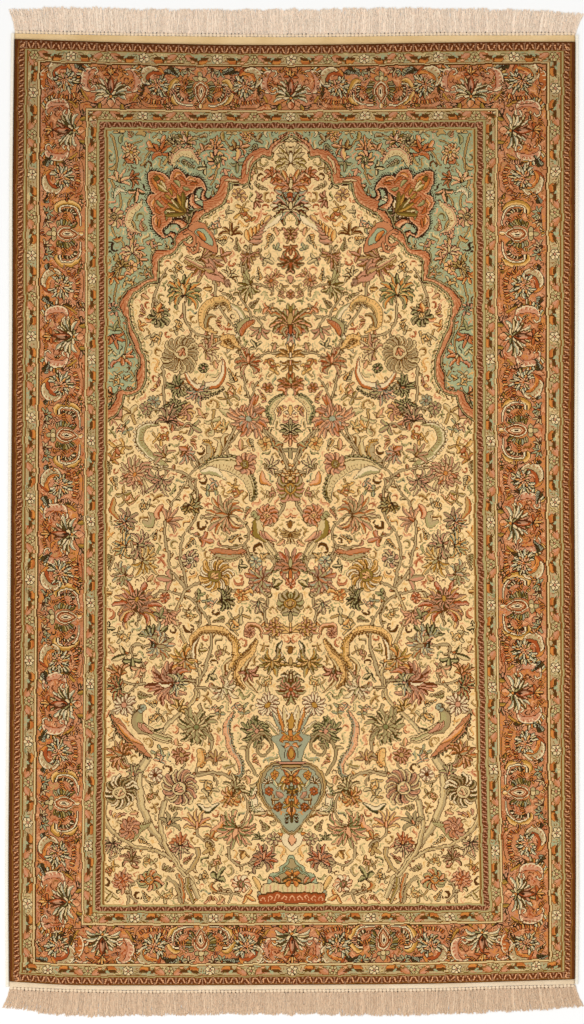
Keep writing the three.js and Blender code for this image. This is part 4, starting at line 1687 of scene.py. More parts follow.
# The cloth's uneven outline. At the sides: where the pile and the field end on the left and right,
# going from the bottom of the rug to the arch end, in millimetres
sides = {
    "at": [0.0, 0.1, 0.25, 0.4, 0.55, 0.7, 0.85, 1.0],
    "left": [-453.5, -454.3, -453.0, -451.0, -449.5, -448.0, -447.5, -445.0],
    "right": [452.0, 453.0, 452.5, 452.0, 450.5, 451.5, 452.0, 452.5],
    "fieldLeft": [-302.0, -300.8, -298.2, -297.0, -296.2, -295.3, -294.7, -294.0],
    "fieldRight": [301.0, 299.5, 294.0, 290.6, 289.4, 289.0, 289.0, 289.0],
}
# At each end, from left to right: where the pile and the flat-woven band stop and how far
# the fringe hangs past the knots
ends = {
    "at": [0.0, 0.1, 0.25, 0.4, 0.5, 0.6, 0.75, 0.9, 1.0],
    "top": {
        "way": 1, "v": 1.0,
        "pile": [763.0, 760.0, 756.0, 753.5, 753.5, 754.5, 757.0, 758.5, 758.5],
        "band": [772.5, 770.5, 768.3, 767.0, 766.5, 767.3, 769.0, 769.3, 769.5],
        "fringe": [38, 42, 41, 42, 43, 43, 42, 39, 35],
        "splay": (8, 12), "fade": 45,
    },
    "bottom": {
        "way": -1, "v": 0.0,
        "pile": [746.0, 751.5, 752.5, 752.0, 751.5, 751.0, 749.5, 745.5, 742.5],
        "band": [755.0, 758.5, 760.2, 759.5, 759.0, 758.5, 757.0, 752.8, 751.0],
        "fringe": [33, 41, 39, 38, 39, 40, 41, 39, 36],
        "splay": (10, 12), "fade": 45,
    },
}


def eased(at, stations, values):
    # A smooth curve through a table, with no overshoot
    at = np.asarray(at, float)
    x, y = np.asarray(stations, float), np.asarray(values, float)
    slope = np.gradient(y, x)
    i = np.clip(np.searchsorted(x, at) - 1, 0, len(x) - 2)
    h = x[i + 1] - x[i]
    t = (at - x[i]) / h
    return ((2 * t ** 3 - 3 * t ** 2 + 1) * y[i] + (t ** 3 - 2 * t ** 2 + t) * h * slope[i]
            + (3 * t ** 2 - 2 * t ** 3) * y[i + 1] + (t ** 3 - t ** 2) * h * slope[i + 1])


def sideAt(name, v):
    return eased(v, sides["at"], sides[name])


def endAt(end, name, u):
    return eased(u, ends["at"], ends[end][name])


def clothPoint(x, y):
    # Where a point of the chart lies on the real, uneven cloth
    side = field["side"]
    stops = np.array([chart["left"], chart["left"] + side, chart["right"] - side, chart["right"]])
    v = (y - chart["bottom"]) / (chart["top"] - chart["bottom"])
    u = (x - chart["left"]) / (chart["right"] - chart["left"])
    places = [sideAt(name, v) for name in ("left", "fieldLeft", "fieldRight", "right")]
    share = [np.clip((x - a) / (b - a), 0, 1) for a, b in zip(stops, stops[1:])]
    realX = places[0] + sum(s * (b - a) for s, a, b in zip(share, places, places[1:]))
    top, bottom = endAt("top", "pile", u), -endAt("bottom", "pile", u)
    nearTop, nearBottom = chart["top"] - field["top"], chart["bottom"] + field["bottom"]
    up = np.clip((y - nearTop) / field["top"], 0, 1)
    down = np.clip((nearBottom - y) / field["bottom"], 0, 1)
    middle = np.clip((y - nearBottom) / (nearTop - nearBottom), 0, 1)
    low, high = nearBottom + 0.4 * (bottom - chart["bottom"]), nearTop + 0.4 * (top - chart["top"])
    realY = low + middle * (high - low) + up * (top - high) + down * (bottom - low)
    return realX, realY


def asMesh(name, points, faces, material, smoothed=True):
    mesh = bpy.data.meshes.new(name)
    mesh.from_pydata((np.asarray(points) / 1000).tolist(), [], faces)
    mesh.polygons.foreach_set("use_smooth", [smoothed] * len(faces))
    mesh.materials.append(material)
    piece = bpy.data.objects.new(name, mesh)
    bpy.context.collection.objects.link(piece)
    return piece


# The pile and the back: sheets of knots. Four by four knots share a face, whose colour value
# packs the number of their silks, and the chart UV counts knots.

pile = {"height": 6.0, "edge": 4.7, "nearEdge": 5.8, "base": 0.9, "ripple": 0.35}
back = {"top": 0.8, "inset": 0.3, "halfWidth": 450, "halfLength": 750}
block = 4
silkBase = 32


def packed(knots):
    rows, columns = knots.shape
    weights = silkBase ** np.arange(block)
    groups = knots.reshape(rows, columns // block, block) * weights
    lines = groups.sum(axis=2).reshape(rows // block, block, columns // block)
    return lines.transpose(0, 2, 1).astype(np.float32)


def gridLines(count):
    return np.array([0, 1, *range(block, count, block), count - 1, count])


def sheetOf(x, y, z, closing):
    # A grid of quads with a skirt down to a closing height: points, quads, its rim and the skirt's foot
    h, w = x.shape
    index = np.arange(h * w).reshape(h, w)
    faces = np.stack([index[:-1, :-1], index[:-1, 1:], index[1:, 1:], index[1:, :-1]], axis=2)
    loop = np.concatenate([index[0, :-1], index[:-1, -1], index[-1, :0:-1], index[:0:-1, 0]])
    points = np.stack([x.ravel(), y.ravel(), z.ravel()], axis=1)
    lowered = points[loop].copy()
    lowered[:, 2] = closing
    under = h * w + np.arange(len(loop))
    skirt = np.stack([loop, under, np.roll(under, -1), np.roll(loop, -1)], axis=1)
    return np.vstack([points, lowered]), np.vstack([faces.reshape(-1, 4), skirt]), loop, under


def clothSheet(name, knots, material, isPile):
    rows, columns = knots.shape
    across = gridLines(columns) if isPile else np.arange(0, columns + 1, block)
    along = gridLines(rows) if isPile else np.arange(0, rows + 1, block)
    gx, gy = np.meshgrid(across, along)
    knotWidth = (chart["right"] - chart["left"]) / columns
    knotLength = (chart["top"] - chart["bottom"]) / rows
    x, y = clothPoint(chart["left"] + gx * knotWidth, chart["bottom"] + gy * knotLength)
    if isPile:
        rim = np.minimum(np.minimum(gx, columns - gx), np.minimum(gy, rows - gy))
        z = np.where(rim == 0, pile["edge"], np.where(rim == 1, pile["nearEdge"], pile["height"]))
        wave = np.sin(x / 61 + 0.7 * np.sin(y / 83)) * np.sin(y / 74 + 1.3 + 0.6 * np.sin(x / 97))
        z = z + pile["ripple"] * wave * np.clip(rim / 12, 0, 1)
        closing = pile["base"]
    else:
        z = np.zeros_like(x)
        middle = (x.mean(), y.mean())
        x = middle[0] + (x - middle[0]) * (1 - back["inset"] / back["halfWidth"])
        y = middle[1] + (y - middle[1]) * (1 - back["inset"] / back["halfLength"])
        closing = back["top"]
    points, quads, loop, under = sheetOf(x, y, z, closing)
    if not isPile:
        quads = quads[:, ::-1]
    cover = under[::-1] if isPile else under
    piece = asMesh(name, points, quads.tolist() + [cover.tolist()], material)
    mesh = piece.data
    mesh.polygons[len(quads)].use_smooth = False
    # the chart UV, and for each face the pack of the block that it lies in
    knotAt = np.stack([gx.ravel(), gy.ravel()], axis=1).astype(float)
    knotAt = np.vstack([knotAt, knotAt[loop]])
    corners = np.concatenate([quads.ravel(), cover])
    uv = knotAt[corners]
    skirtFrom = (len(quads) - len(loop)) * 4
    uv[skirtFrom:] = uv[skirtFrom:].clip(0.5, [columns - 0.5, rows - 0.5])
    layer = mesh.uv_layers.new(name="chart")
    layer.data.foreach_set("uv", uv.astype(np.float32).ravel())
    centres = knotAt[quads].mean(axis=1).clip(0.5, [columns - 0.5, rows - 0.5])
    lines = packed(knots)
    column, row = (centres // block).astype(int).T
    values = np.vstack([lines[row, column], lines[0, :1]])
    attribute = mesh.attributes.new("knots", "FLOAT_COLOR", "FACE")
    attribute.data.foreach_set("color", values.ravel())
    return piece


silkLook = {
    "knotNoise": 0.17,      # how much single knots differ
    "lotNoise": 0.10,       # broad bands where one dye lot follows another
    "napShadeNoise": 0.10,     # broad patches of painted light and shade on the nap, as where feet and brushes have turned it
    "wobble": 0.45,         # how far a knot leans out of its place, in knots
    "tuft": 0.00045,        # metres
    # painted shade towards the arch end, and painted light on the right side
    "archEndShade": 0.19, "archEndShadeFrom": 0.46, "rightSideLight": 0.11,
}


def silkFinish(name, isPile):
    look = silkLook
    finish = Finish(name, Roughness=0.55, Specular_IOR_Level=0.08)
    if isPile:
        finish.shader.inputs["Sheen Weight"].default_value = 0.02
        finish.shader.inputs["Sheen Roughness"].default_value = 0.4
        finish.shader.inputs["Sheen Tint"].default_value = (*linear("FFE2B8"), 1)
    place = finish.place()
    x, y, _ = finish.split(place)
    u, v, _ = finish.split(finish.node("ShaderNodeUVMap", {"uv_map": "chart"}))
    lean = finish.noise(place, 820.0, 0.0) - 0.5
    lean2 = finish.noise(place, 690.0, 0.0) - 0.5
    top = block - 0.001
    column = (u % block + lean * look["wobble"]).most(0.0).least(top).floor()
    row = (v % block + lean2 * look["wobble"]).most(0.0).least(top).floor()
    parts = finish.tree.nodes.new("ShaderNodeSeparateColor")
    attribute = finish.tree.nodes.new("ShaderNodeAttribute")
    attribute.attribute_name = "knots"
    finish.tree.links.new(attribute.outputs["Color"], parts.inputs[0])
    lines = [Wire(finish.tree, socket) for socket in (*parts.outputs, attribute.outputs["Alpha"])]
    line = sum(lines[i] * row.equals(i) for i in range(1, block)) + lines[0] * row.equals(0)
    silk = (line / silkBase ** column).floor() % silkBase
    stops = [(i / len(silks), linear(code)) for i, code in enumerate(silks.values())]
    dyed = finish.node("ShaderNodeValToRGB", {"interpolation": "CONSTANT", "stops": stops},
                       {"Fac": (silk + 0.5) / len(silks)})
    # no two knots are quite alike, the dye lots drift, and painted light and shade lie over the nap in
    # broad patches
    whole = finish.node("ShaderNodeCombineXYZ", None, {"X": u.floor(), "Y": v.floor(), "Z": silk})
    knot = finish.node("ShaderNodeTexWhiteNoise", {"noise_dimensions": "3D"}, {"Vector": whole}, "Value")
    stretched = finish.node("ShaderNodeCombineXYZ", None, {"X": x * 1.5, "Y": y * 9.0, "Z": silk * 3.1})
    lot = finish.noise(stretched, 3.0, 3.0) - 0.5
    napShadeCloud = finish.noise(place, 7.0, 4.0, Roughness=0.6) - 0.5
    fibre = finish.noise(place, 2600.0, 1.0) - 0.5
    level = 1.0 + (knot - 0.5) * look["knotNoise"] + lot * look["lotNoise"] * 2 + fibre * 0.16
    if isPile:
        # painted shade darkens the pile towards the arch end, and painted light makes it lighter on the
        # right
        archEndShade = ((y - look["archEndShadeFrom"]) / 0.2).most(0.0).least(1.0) * look["archEndShade"]
        level = (level + napShadeCloud * look["napShadeNoise"] * 2) * (1.0 - archEndShade) * (x * look["rightSideLight"] + 1.0)
    warmer = finish.mix(napShadeCloud + 0.5, (1.0, 0.985, 0.96), (0.985, 1.0, 1.02))
    toned = finish.node("ShaderNodeVectorMath", {"operation": "MULTIPLY"}, {0: dyed, 1: warmer})
    finish.colour(finish.shade(toned, level if isPile else level * 0.93))
    # each knot is a small tuft, and on the back a bead
    du = ((u + lean * 0.3) % 1.0 - 0.5).absolute() * 2
    dv = ((v + lean2 * 0.3) % 1.0 - 0.5).absolute() * 2
    bead = 1.0 - (du ** 3.0).most(dv ** 3.0)
    finish.bump(bead * (0.45 if isPile else 0.9) + knot * 0.5 + fibre, look["tuft"],
                0.55 if isPile else 0.8)
    finish.rough(0.56 + fibre * 0.3 + napShadeCloud * 0.15)
    return finish.material


# The flat-woven bands at the ends: weft ribs that run across the rug

band = {"height": 1.75, "rib": 0.28, "pitch": 1.35, "along": 220, "stepsPerRib": 4, "gap": 0.3}


def endBand(end, material):
    data = ends[end]
    ribs = round(np.mean(np.array(data["band"]) - np.array(data["pile"])) / band["pitch"])
    t = np.linspace(0, 1, ribs * band["stepsPerRib"] + 1)
    u = np.linspace(0, 1, band["along"] + 1)
    left, right = sideAt("left", data["v"]), sideAt("right", data["v"])
    uu, tt = np.meshgrid(u, t)
    inner = endAt(end, "pile", uu) + band["gap"]
    y = data["way"] * (inner + tt * (endAt(end, "band", uu) - inner))
    x = left + uu * (right - left)
    rib = np.abs(np.sin(np.pi * ribs * tt))
    sag = 0.12 * np.sin(uu * 57 + 3 * tt) + 0.1 * np.sin(uu * 131)
    z = band["height"] - band["rib"] * (1 - rib) + sag
    points, quads, loop, under = sheetOf(x, y, z, 0.0)
    cover = under[::-1]
    if data["way"] < 0:
        quads, cover = quads[:, ::-1], cover[::-1]
    piece = asMesh("band_" + end, points, quads.tolist() + [cover.tolist()], material)
    piece.data.polygons[len(quads)].use_smooth = False
    across = np.concatenate([tt.ravel(), tt.ravel()[loop]])
    corner = np.concatenate([quads.ravel(), cover])
    where = np.concatenate([uu.ravel(), uu.ravel()[loop]])
    layer = piece.data.uv_layers.new(name="weave")
    layer.data.foreach_set("uv", np.stack([where[corner] * (right - left), across[corner] * ribs], axis=1)
                           .astype(np.float32).ravel())
    return piece


def bandFinish(name, code, pale):
    finish = Finish(name, Roughness=0.8, Specular_IOR_Level=0.2, Sheen_Weight=0.12)
    place = finish.place()
    u, v, _ = finish.split(finish.node("ShaderNodeUVMap", {"uv_map": "weave"}))
    drift = finish.noise(place, 14.0, 3.0) - 0.5
    thread = finish.noise(finish.node("ShaderNodeCombineXYZ", None,
                                      {"X": u * 0.05, "Y": v * 1.7, "Z": 0.0}), 2.0, 2.0) - 0.5
    # the weft passes over and under the warps, one row against the next
    over = ((u / 1.15 + v.floor() * 0.5) % 1.0 - 0.5).absolute() * 2
    groove = (v % 1.0 - 0.5).absolute() * 2
    # painted shade: darker in the grooves between the ribs, and where the weft dips under a warp
    level = 1.0 + drift * 0.22 + thread * 0.3 - (groove ** 4.0) * 0.28 - over * 0.10
    colour = finish.mix(drift * 1.6 + 0.5, linear(code), linear(pale))
    finish.colour(finish.shade(colour, level))
    finish.bump((1.0 - over ** 2.0) * 0.7 + finish.noise(place, 1800.0, 1.0), 0.00035, 0.6)
    finish.rough(0.82 + thread * 0.2)
    return finish.material


# Geometry Nodes helpers: a tree with named inputs, and its result as a plain mesh

class Grower:

    def __init__(self, name, inputs):
        self.tree = bpy.data.node_groups.new(name, "GeometryNodeTree")
        face = self.tree.interface
        face.new_socket("Geometry", in_out="INPUT", socket_type="NodeSocketGeometry")
        face.new_socket("Geometry", in_out="OUTPUT", socket_type="NodeSocketGeometry")
        socketKinds = {int: "NodeSocketInt", float: "NodeSocketFloat"}
        self.sizes = {}
        for label, value in inputs.items():
            socket = face.new_socket(label, in_out="INPUT", socket_type=socketKinds[type(value)])
            self.sizes[socket.identifier] = value
        self.entry = self.tree.nodes.new("NodeGroupInput")
        self.exit = self.tree.nodes.new("NodeGroupOutput")

    def input(self, label):
        return Wire(self.tree, self.entry.outputs[label])

    def node(self, kind, settings=None, values=None, output=0):
        return addNode(self.tree, kind, settings, values, output)

    def vector(self, x=0.0, y=0.0, z=0.0):
        return self.node("ShaderNodeCombineXYZ", None, {"X": x, "Y": y, "Z": z})

    def random(self, low, high, seed, identity=None):
        # a random number for each element
        node = self.tree.nodes.new("FunctionNodeRandomValue")
        node.data_type = "FLOAT"
        for slot in node.inputs:
            if slot.enabled and slot.name == "Min":
                slot.default_value = low
            elif slot.enabled and slot.name == "Max":
                slot.default_value = high
            elif slot.name == "Seed":
                plug(self.tree, slot, seed)
            elif slot.name == "ID" and identity is not None:
                plug(self.tree, slot, identity)
        return Wire(self.tree, next(socket for socket in node.outputs if socket.enabled))

    def store(self, geometry, label, value, domain="POINT"):
        return self.node("GeometryNodeStoreNamedAttribute", {"data_type": "FLOAT", "domain": domain},
                         {"Geometry": geometry, "Name": label, "Value": value})

    def named(self, label):
        return self.node("GeometryNodeInputNamedAttribute", {"data_type": "FLOAT"}, {"Name": label},
                         "Attribute")

    def grow(self, name, base, material):
        # ends the tree, runs it on the base and leaves a plain mesh
        realized = self.node("GeometryNodeRealizeInstances", None, {"Geometry": self.result})
        painted = self.node("GeometryNodeSetMaterial", None, {"Geometry": realized, "Material": material})
        plug(self.tree, self.exit.inputs[0], painted)
        modifier = base.modifiers.new("grow", "NODES")
        modifier.node_group = self.tree
        for identifier, value in self.sizes.items():
            modifier[identifier] = value
        base.update_tag()
        depsgraph = bpy.context.evaluated_depsgraph_get()
        mesh = bpy.data.meshes.new_from_object(base.evaluated_get(depsgraph), depsgraph=depsgraph)
        base.modifiers.remove(modifier)
        bpy.data.objects.remove(base)
        mesh.name = name
        piece = bpy.data.objects.new(name, mesh)
        bpy.context.collection.objects.link(piece)
        print(name, "has", len(mesh.polygons), "faces")
        return piece


def pathMesh(points, **attributes):
    # an open line of edges that a tree turns into a curve
    mesh = bpy.data.meshes.new("path")
    mesh.from_pydata((np.asarray(points) / 1000).tolist(), [(i, i + 1) for i in range(len(points) - 1)], [])
    for label, values in attributes.items():
        layer = mesh.attributes.new(label, "FLOAT", "POINT")
        layer.data.foreach_set("value", np.asarray(values, np.float32))
    base = bpy.data.objects.new("path", mesh)
    bpy.context.collection.objects.link(base)
    return base


# The overcast selvedges: a cord wrapped round with silk

selvedge = {"gap": 0.3, "width": 5.3, "height": 4.3, "pitch": 2.3, "ridge": 0.34, "step": 0.62, "sides": 12}


def overcastSelvedge(side, material):
    v = np.linspace(0, 1, 80)
    way = -1 if side == "left" else 1
    x = sideAt(side, v) + way * (selvedge["gap"] + selvedge["width"] / 2 + 0.1)
    u = 0.0 if side == "left" else 1.0
    y = -endAt("bottom", "band", u) + v * (endAt("bottom", "band", u) + endAt("top", "band", u))
    y = y[0] + 0.3 + (y - y[0]) * (1 - 0.6 / (y[-1] - y[0]))
    base = pathMesh(np.stack([x, y, np.full_like(x, selvedge["height"] / 2 + 0.05)], axis=1))
    g = Grower("overcasting", {"Width": selvedge["width"] / 1000, "Height": selvedge["height"] / 1000,
                               "Wrap Pitch": selvedge["pitch"] / 1000, "Ridge": selvedge["ridge"] / 1000,
                               "Step": selvedge["step"] / 1000, "Sides": selvedge["sides"], "Seed": 4})
    curve = g.node("GeometryNodeMeshToCurve", None, {"Mesh": g.input("Geometry")})
    curve = g.node("GeometryNodeResampleCurve", {"mode": "LENGTH"},
                   {"Curve": curve, "Length": g.input("Step")})
    curve = g.node("GeometryNodeSetCurveNormal", {"mode": "Z_UP"}, {"Curve": curve})
    run = g.node("GeometryNodeSplineParameter", output="Length")
    curve = g.store(curve, "run", run)
    ring = g.node("GeometryNodeCurvePrimitiveCircle", None, {"Resolution": g.input("Sides"), "Radius": 0.5})
    ring = g.store(ring, "turn", g.node("GeometryNodeSplineParameter", output="Factor"))
    oval = g.vector(g.input("Width"), g.input("Height"), 1.0)
    ring = g.node("GeometryNodeTransform", None, {"Geometry": ring, "Scale": oval})
    tube = g.node("GeometryNodeCurveToMesh", None, {"Curve": curve, "Profile Curve": ring,
                                                    "Fill Caps": True})
    wrap = g.named("run") / g.input("Wrap Pitch")
    uneven = g.node("ShaderNodeTexNoise", {"noise_dimensions": "1D"}, {"W": wrap * 0.9, "Scale": 1.0}, 0)
    phase = wrap + g.named("turn") * 0.55 + uneven * 0.35
    ridge = (phase * math.pi).sine().absolute() ** 0.6
    # the depth of each groove between the wraps, kept for the painted shade in them
    tube = g.store(tube, "groove", 1.0 - ridge)
    tube = g.store(tube, "wrap", phase.floor())
    normal = g.node("GeometryNodeInputNormal")
    offset = g.node("ShaderNodeVectorMath", {"operation": "SCALE"},
                    {"Vector": normal, "Scale": (ridge - 1.0) * g.input("Ridge")})
    g.result = g.node("GeometryNodeSetPosition", None, {"Geometry": tube, "Offset": offset})
    return g.grow("overcast_" + side, base, material)


def selvedgeFinish():
    finish = Finish("overcast silk", Roughness=0.62, Specular_IOR_Level=0.3, Sheen_Weight=0.2)
    place = finish.place()
    wrap = finish.node("ShaderNodeTexWhiteNoise", {"noise_dimensions": "1D"},
                       {"W": finish.attribute("wrap")}, "Value")
    drift = finish.noise(place, 9.0, 3.0)
    fine = finish.noise(place, 1500.0, 1.0) - 0.5
    colour = finish.mix(drift * 0.7 + wrap * 0.4, linear("FFF8EA"), linear("F2E6CE"))
    # painted shade in the grooves between the wraps
    level = 1.0 - finish.attribute("groove") ** 2.0 * 0.35 + fine * 0.2
    finish.colour(finish.shade(colour, level))
    finish.bump(fine + finish.noise(place, 420.0, 2.0), 0.0003, 0.5)
    return finish.material


# The row of knots past each band, and the fringe that hangs from it

# the dark dots set between the knots are painted shadow for the holes there
knotRow = {"count": 150, "width": 5.6, "length": 4.6, "height": 2.6, "offset": 2.3,
           "gapShadow": (2.0, 2.5, 1.3), "gapShadowOut": 2.5, "gapShadowHeight": 1.75}
fringe = {"locks": 150, "threads": 14, "radius": 0.42, "flat": 0.9, "sides": 3, "points": 13, "neck": 2.7,
          "spread": 4.3, "sway": 1.1, "start": 1.0, "root": 1.1, "tip": 0.75}
# the lowest threads lie matted together
mat = {**fringe, "threads": 5, "radius": 1.0, "flat": 0.3, "sides": 4, "root": 0.55, "tip": 0.4,
       "spread": 3.0}


def endPath(end, out, count=120):
    data = ends[end]
    u = np.linspace(0, 1, count)
    left, right = sideAt("left", data["v"]), sideAt("right", data["v"])
    half = 0.5 * (right - left) / knotRow["count"]
    x = left + half + u * (right - left - 2 * half)
    y = data["way"] * (endAt(end, "band", u) + out)
    atLeft, atRight = np.exp((left - x) / data["fade"]), np.exp((x - right) / data["fade"])
    splay = data["splay"][1] * atRight - data["splay"][0] * atLeft
    z = np.full_like(x, 0.0)
    return pathMesh(np.stack([x, y, z], axis=1), hang=endAt(end, "fringe", u) / 1000, splay=splay / 1000)


def rowOfKnots(end, material):
    way = ends[end]["way"]
    g = Grower("row_of_knots", {"Count": knotRow["count"], "Width": knotRow["width"] / 1000,
                                "Length": knotRow["length"] / 1000,
                                "Height": knotRow["height"] / 1000, "Seed": 7})
    curve = g.node("GeometryNodeMeshToCurve", None, {"Mesh": g.input("Geometry")})
    spots = g.node("GeometryNodeCurveToPoints", {"mode": "COUNT"},
                   {"Curve": curve, "Count": g.input("Count")})
    ball = g.node("GeometryNodeMeshUVSphere", None, {"Segments": 10, "Rings": 5, "Radius": 0.5})
    place = g.node("GeometryNodeInputPosition")
    parts = g.tree.nodes.new("ShaderNodeSeparateXYZ")
    plug(g.tree, parts.inputs[0], place)
    x, y, _ = [Wire(g.tree, socket) for socket in parts.outputs]
    # two turns of thread cross over each knot
    twist = ((x * 9.0 + y * 11.0).sine() * 0.5 + (x * 13.0 - y * 8.0).sine() * 0.35)
    lump = g.node("ShaderNodeVectorMath", {"operation": "SCALE"},
                  {"Vector": place, "Scale": twist * 0.16 + 0.06})
    ball = g.node("GeometryNodeSetPosition", None, {"Geometry": ball, "Offset": lump})
    size = g.vector(g.input("Width") * g.random(0.92, 1.04, g.input("Seed")),
                    g.input("Length") * g.random(0.88, 1.08, 11),
                    g.input("Height") * g.random(0.9, 1.05, 12))
    turn = g.vector(0.0, 0.0, g.random(-0.22, 0.22, 13))
    knots = g.node("GeometryNodeInstanceOnPoints", None,
                   {"Points": spots, "Instance": ball, "Rotation": turn, "Scale": size})
    lift = g.vector(0.0, g.random(-0.0004, 0.0004, 14), g.input("Height") * 0.5)
    knots = g.node("GeometryNodeTranslateInstances", {},
                   {"Instances": knots, "Translation": lift, "Local Space": False})
    knots = g.store(knots, "tone", g.random(0.0, 1.0, 15), "INSTANCE")
    # painted shadow: a dark dot stands in the hole between most of the knots, where shade falls
    pitch = (sideAt("right", ends[end]["v"]) - sideAt("left", ends[end]["v"])) / knotRow["count"]
    last = g.node("FunctionNodeCompare", {"data_type": "FLOAT", "operation": "LESS_THAN"},
                  {0: g.node("GeometryNodeInputIndex") + 1.5, 1: g.input("Count")})
    wide, long, high = [size / 1000 for size in knotRow["gapShadow"]]
    some = g.random(0.0, 1.0, 16) ** 0.7
    gapShadow = g.node("GeometryNodeMeshUVSphere", None, {"Segments": 6, "Rings": 4, "Radius": 0.5})
    size = g.vector(some * wide, some * long, high)
    gapShadows = g.node("GeometryNodeInstanceOnPoints", None,
                      {"Points": spots, "Selection": last, "Instance": gapShadow, "Scale": size})
    shift = g.vector(float(pitch) / 2000, knotRow["gapShadowOut"] * way / 1000, knotRow["gapShadowHeight"] / 1000)
    gapShadows = g.node("GeometryNodeTranslateInstances", {},
                      {"Instances": gapShadows, "Translation": shift, "Local Space": False})
    # tone 3 marks the painted shadow dots for the cotton's colour
    gapShadows = g.store(gapShadows, "tone", 3.0, "INSTANCE")
    joined = g.tree.nodes.new("GeometryNodeJoinGeometry")
    for part in (knots, gapShadows):
        g.tree.links.new(part.socket, joined.inputs[0])
    g.result = Wire(g.tree, joined.outputs[0])
    return g.grow("knots_" + end, endPath(end, knotRow["offset"]), material)


def fringeThreads(end, name, look, material):
    way = ends[end]["way"]
    g = Grower(name, {"Locks": look["locks"], "Threads": look["threads"],
                      "Thread Radius": look["radius"] / 1000,
                      "Flatness": look["flat"], "Sides": look["sides"], "Neck": look["neck"] / 1000,
                      "Spread": look["spread"] / 1000, "Sway": look["sway"] / 1000,
                      "Points": look["points"],
                      "Root Height": look["root"] / 1000, "Tip Height": look["tip"] / 1000, "Seed": 23})
    curve = g.node("GeometryNodeMeshToCurve", None, {"Mesh": g.input("Geometry")})
    locks = g.node("GeometryNodeCurveToPoints", {"mode": "COUNT"},
                   {"Curve": curve, "Count": g.input("Locks")})
    locks = g.store(locks, "lock", g.node("GeometryNodeInputIndex"))
    locks = g.store(locks, "lean", g.random(-1.0, 1.0, 31))
    copies = g.tree.nodes.new("GeometryNodeDuplicateElements")
    copies.domain = "POINT"
    plug(g.tree, copies.inputs["Geometry"], locks)
    plug(g.tree, copies.inputs["Amount"], g.input("Threads"))
    threads = Wire(g.tree, copies.outputs["Geometry"])
    order = Wire(g.tree, copies.outputs["Duplicate Index"])
    threads = g.store(threads, "share", (order + 0.5) / g.input("Threads") * 2.0 - 1.0)
    for label, low, high, seed in (("tone", 0, 1, 41), ("longer", -1, 1, 42), ("stray", -1, 1, 43),
                                   ("above", 0, 1, 44), ("bend", 0, 6.28, 45)):
        threads = g.store(threads, label, g.random(float(low), float(high), seed))
    strand = g.node("GeometryNodeCurvePrimitiveLine", None, {"Start": (0, 0, 0), "End": (0, float(way), 0)})
    strand = g.node("GeometryNodeResampleCurve", {"mode": "COUNT"},
                    {"Curve": strand, "Count": g.input("Points")})
    strand = g.store(strand, "down", g.node("GeometryNodeSplineParameter", output="Factor"))
    hairs = g.node("GeometryNodeInstanceOnPoints", None,
                   {"Points": threads, "Instance": strand, "Scale": g.vector(1.0, g.named("hang"), 1.0)})
    hairs = g.node("GeometryNodeRealizeInstances", None, {"Geometry": hairs})
    t = g.named("down")
    bend = g.named("bend")
    opened = t ** 0.35
    away = (g.named("share") * (g.input("Neck") * (1.0 - opened) + g.input("Spread") * opened)
            + g.named("tone") * 0.0012
            + g.named("splay") * t ** 1.4 + g.named("lean") * g.input("Sway") * t ** 1.6
            + g.named("stray") * 0.0035 * t ** 3.0
            + (t * 19.0 + bend).sine() * 0.00045 + (t * 7.0 + bend * 2.3).sine() * 0.0006 * t
            + (t * 2.6 + g.named("lock") * 0.13).sine() * 0.0012 * t)
    longer = g.named("longer") * 0.0026 + g.named("lean") * 0.0014 - g.named("stray").absolute() * 0.002
    further = longer * t ** 2.0 * way
    root = g.input("Root Height") + (g.named("above") - 0.5) * 0.0011
    tip = g.input("Tip Height") + (g.named("above") - 0.45) * 0.0012
    height = root * (1.0 - t) + tip * t
    offset = g.vector(away, further, height.most(0.00032))
    hairs = g.node("GeometryNodeSetPosition", None, {"Geometry": hairs, "Offset": offset})
    hairs = g.node("GeometryNodeSetCurveRadius", None, {"Curve": hairs, "Radius": 1.0 - t * t * 0.45})
    hairs = g.node("GeometryNodeSetCurveNormal", {"mode": "Z_UP"}, {"Curve": hairs})
    ring = g.node("GeometryNodeCurvePrimitiveCircle", None,
                  {"Resolution": g.input("Sides"), "Radius": g.input("Thread Radius")})
    flat = g.vector(1.0, g.input("Flatness"), 1.0)
    ring = g.node("GeometryNodeTransform", None, {"Geometry": ring, "Scale": flat})
    g.result = g.node("GeometryNodeCurveToMesh", None,
                      {"Curve": hairs, "Profile Curve": ring, "Fill Caps": True})
    return g.grow(name + "_" + end, endPath(end, look["start"]), material)


def threadFinish(name, light, dark, rootShade=0.3):
    finish = Finish(name, Roughness=0.85, Specular_IOR_Level=0.2, Sheen_Weight=0.15)
    place = finish.place()
    tone = finish.attribute("tone")
    down = finish.attribute("down")
    drift = finish.noise(place, 160.0, 3.0) - 0.5
    grain = finish.noise(place, 560.0, 2.0) - 0.5
    colour = finish.mix((tone * 0.35 + drift * 0.7 + grain * 1.6 + 0.15).most(0.0).least(1.0),
                        linear(light), linear(dark))
    gapShadow = (tone - 2.0).most(0.0).least(0.88)      # painted shadow: the dark dots in the holes between the knots
    # painted shade near the roots of the threads, under the knots
    root = (1.0 - down * 9.0).most(0.0)
    # painted shade: dark specks where the threads shadow one another
    shadeFleck = ((finish.noise(place, 620.0, 1.0) - 0.6) * 12.0).most(0.0).least(1.0)
    finish.colour(finish.shade(colour, (1.03 + drift * 0.12 + grain * 0.3 - shadeFleck * 0.26)
                               * (1.0 - root * rootShade) * (1.0 - gapShadow)))
    finish.bump(finish.noise(place, 1900.0, 1.0), 0.0002, 0.4)
    return finish.material


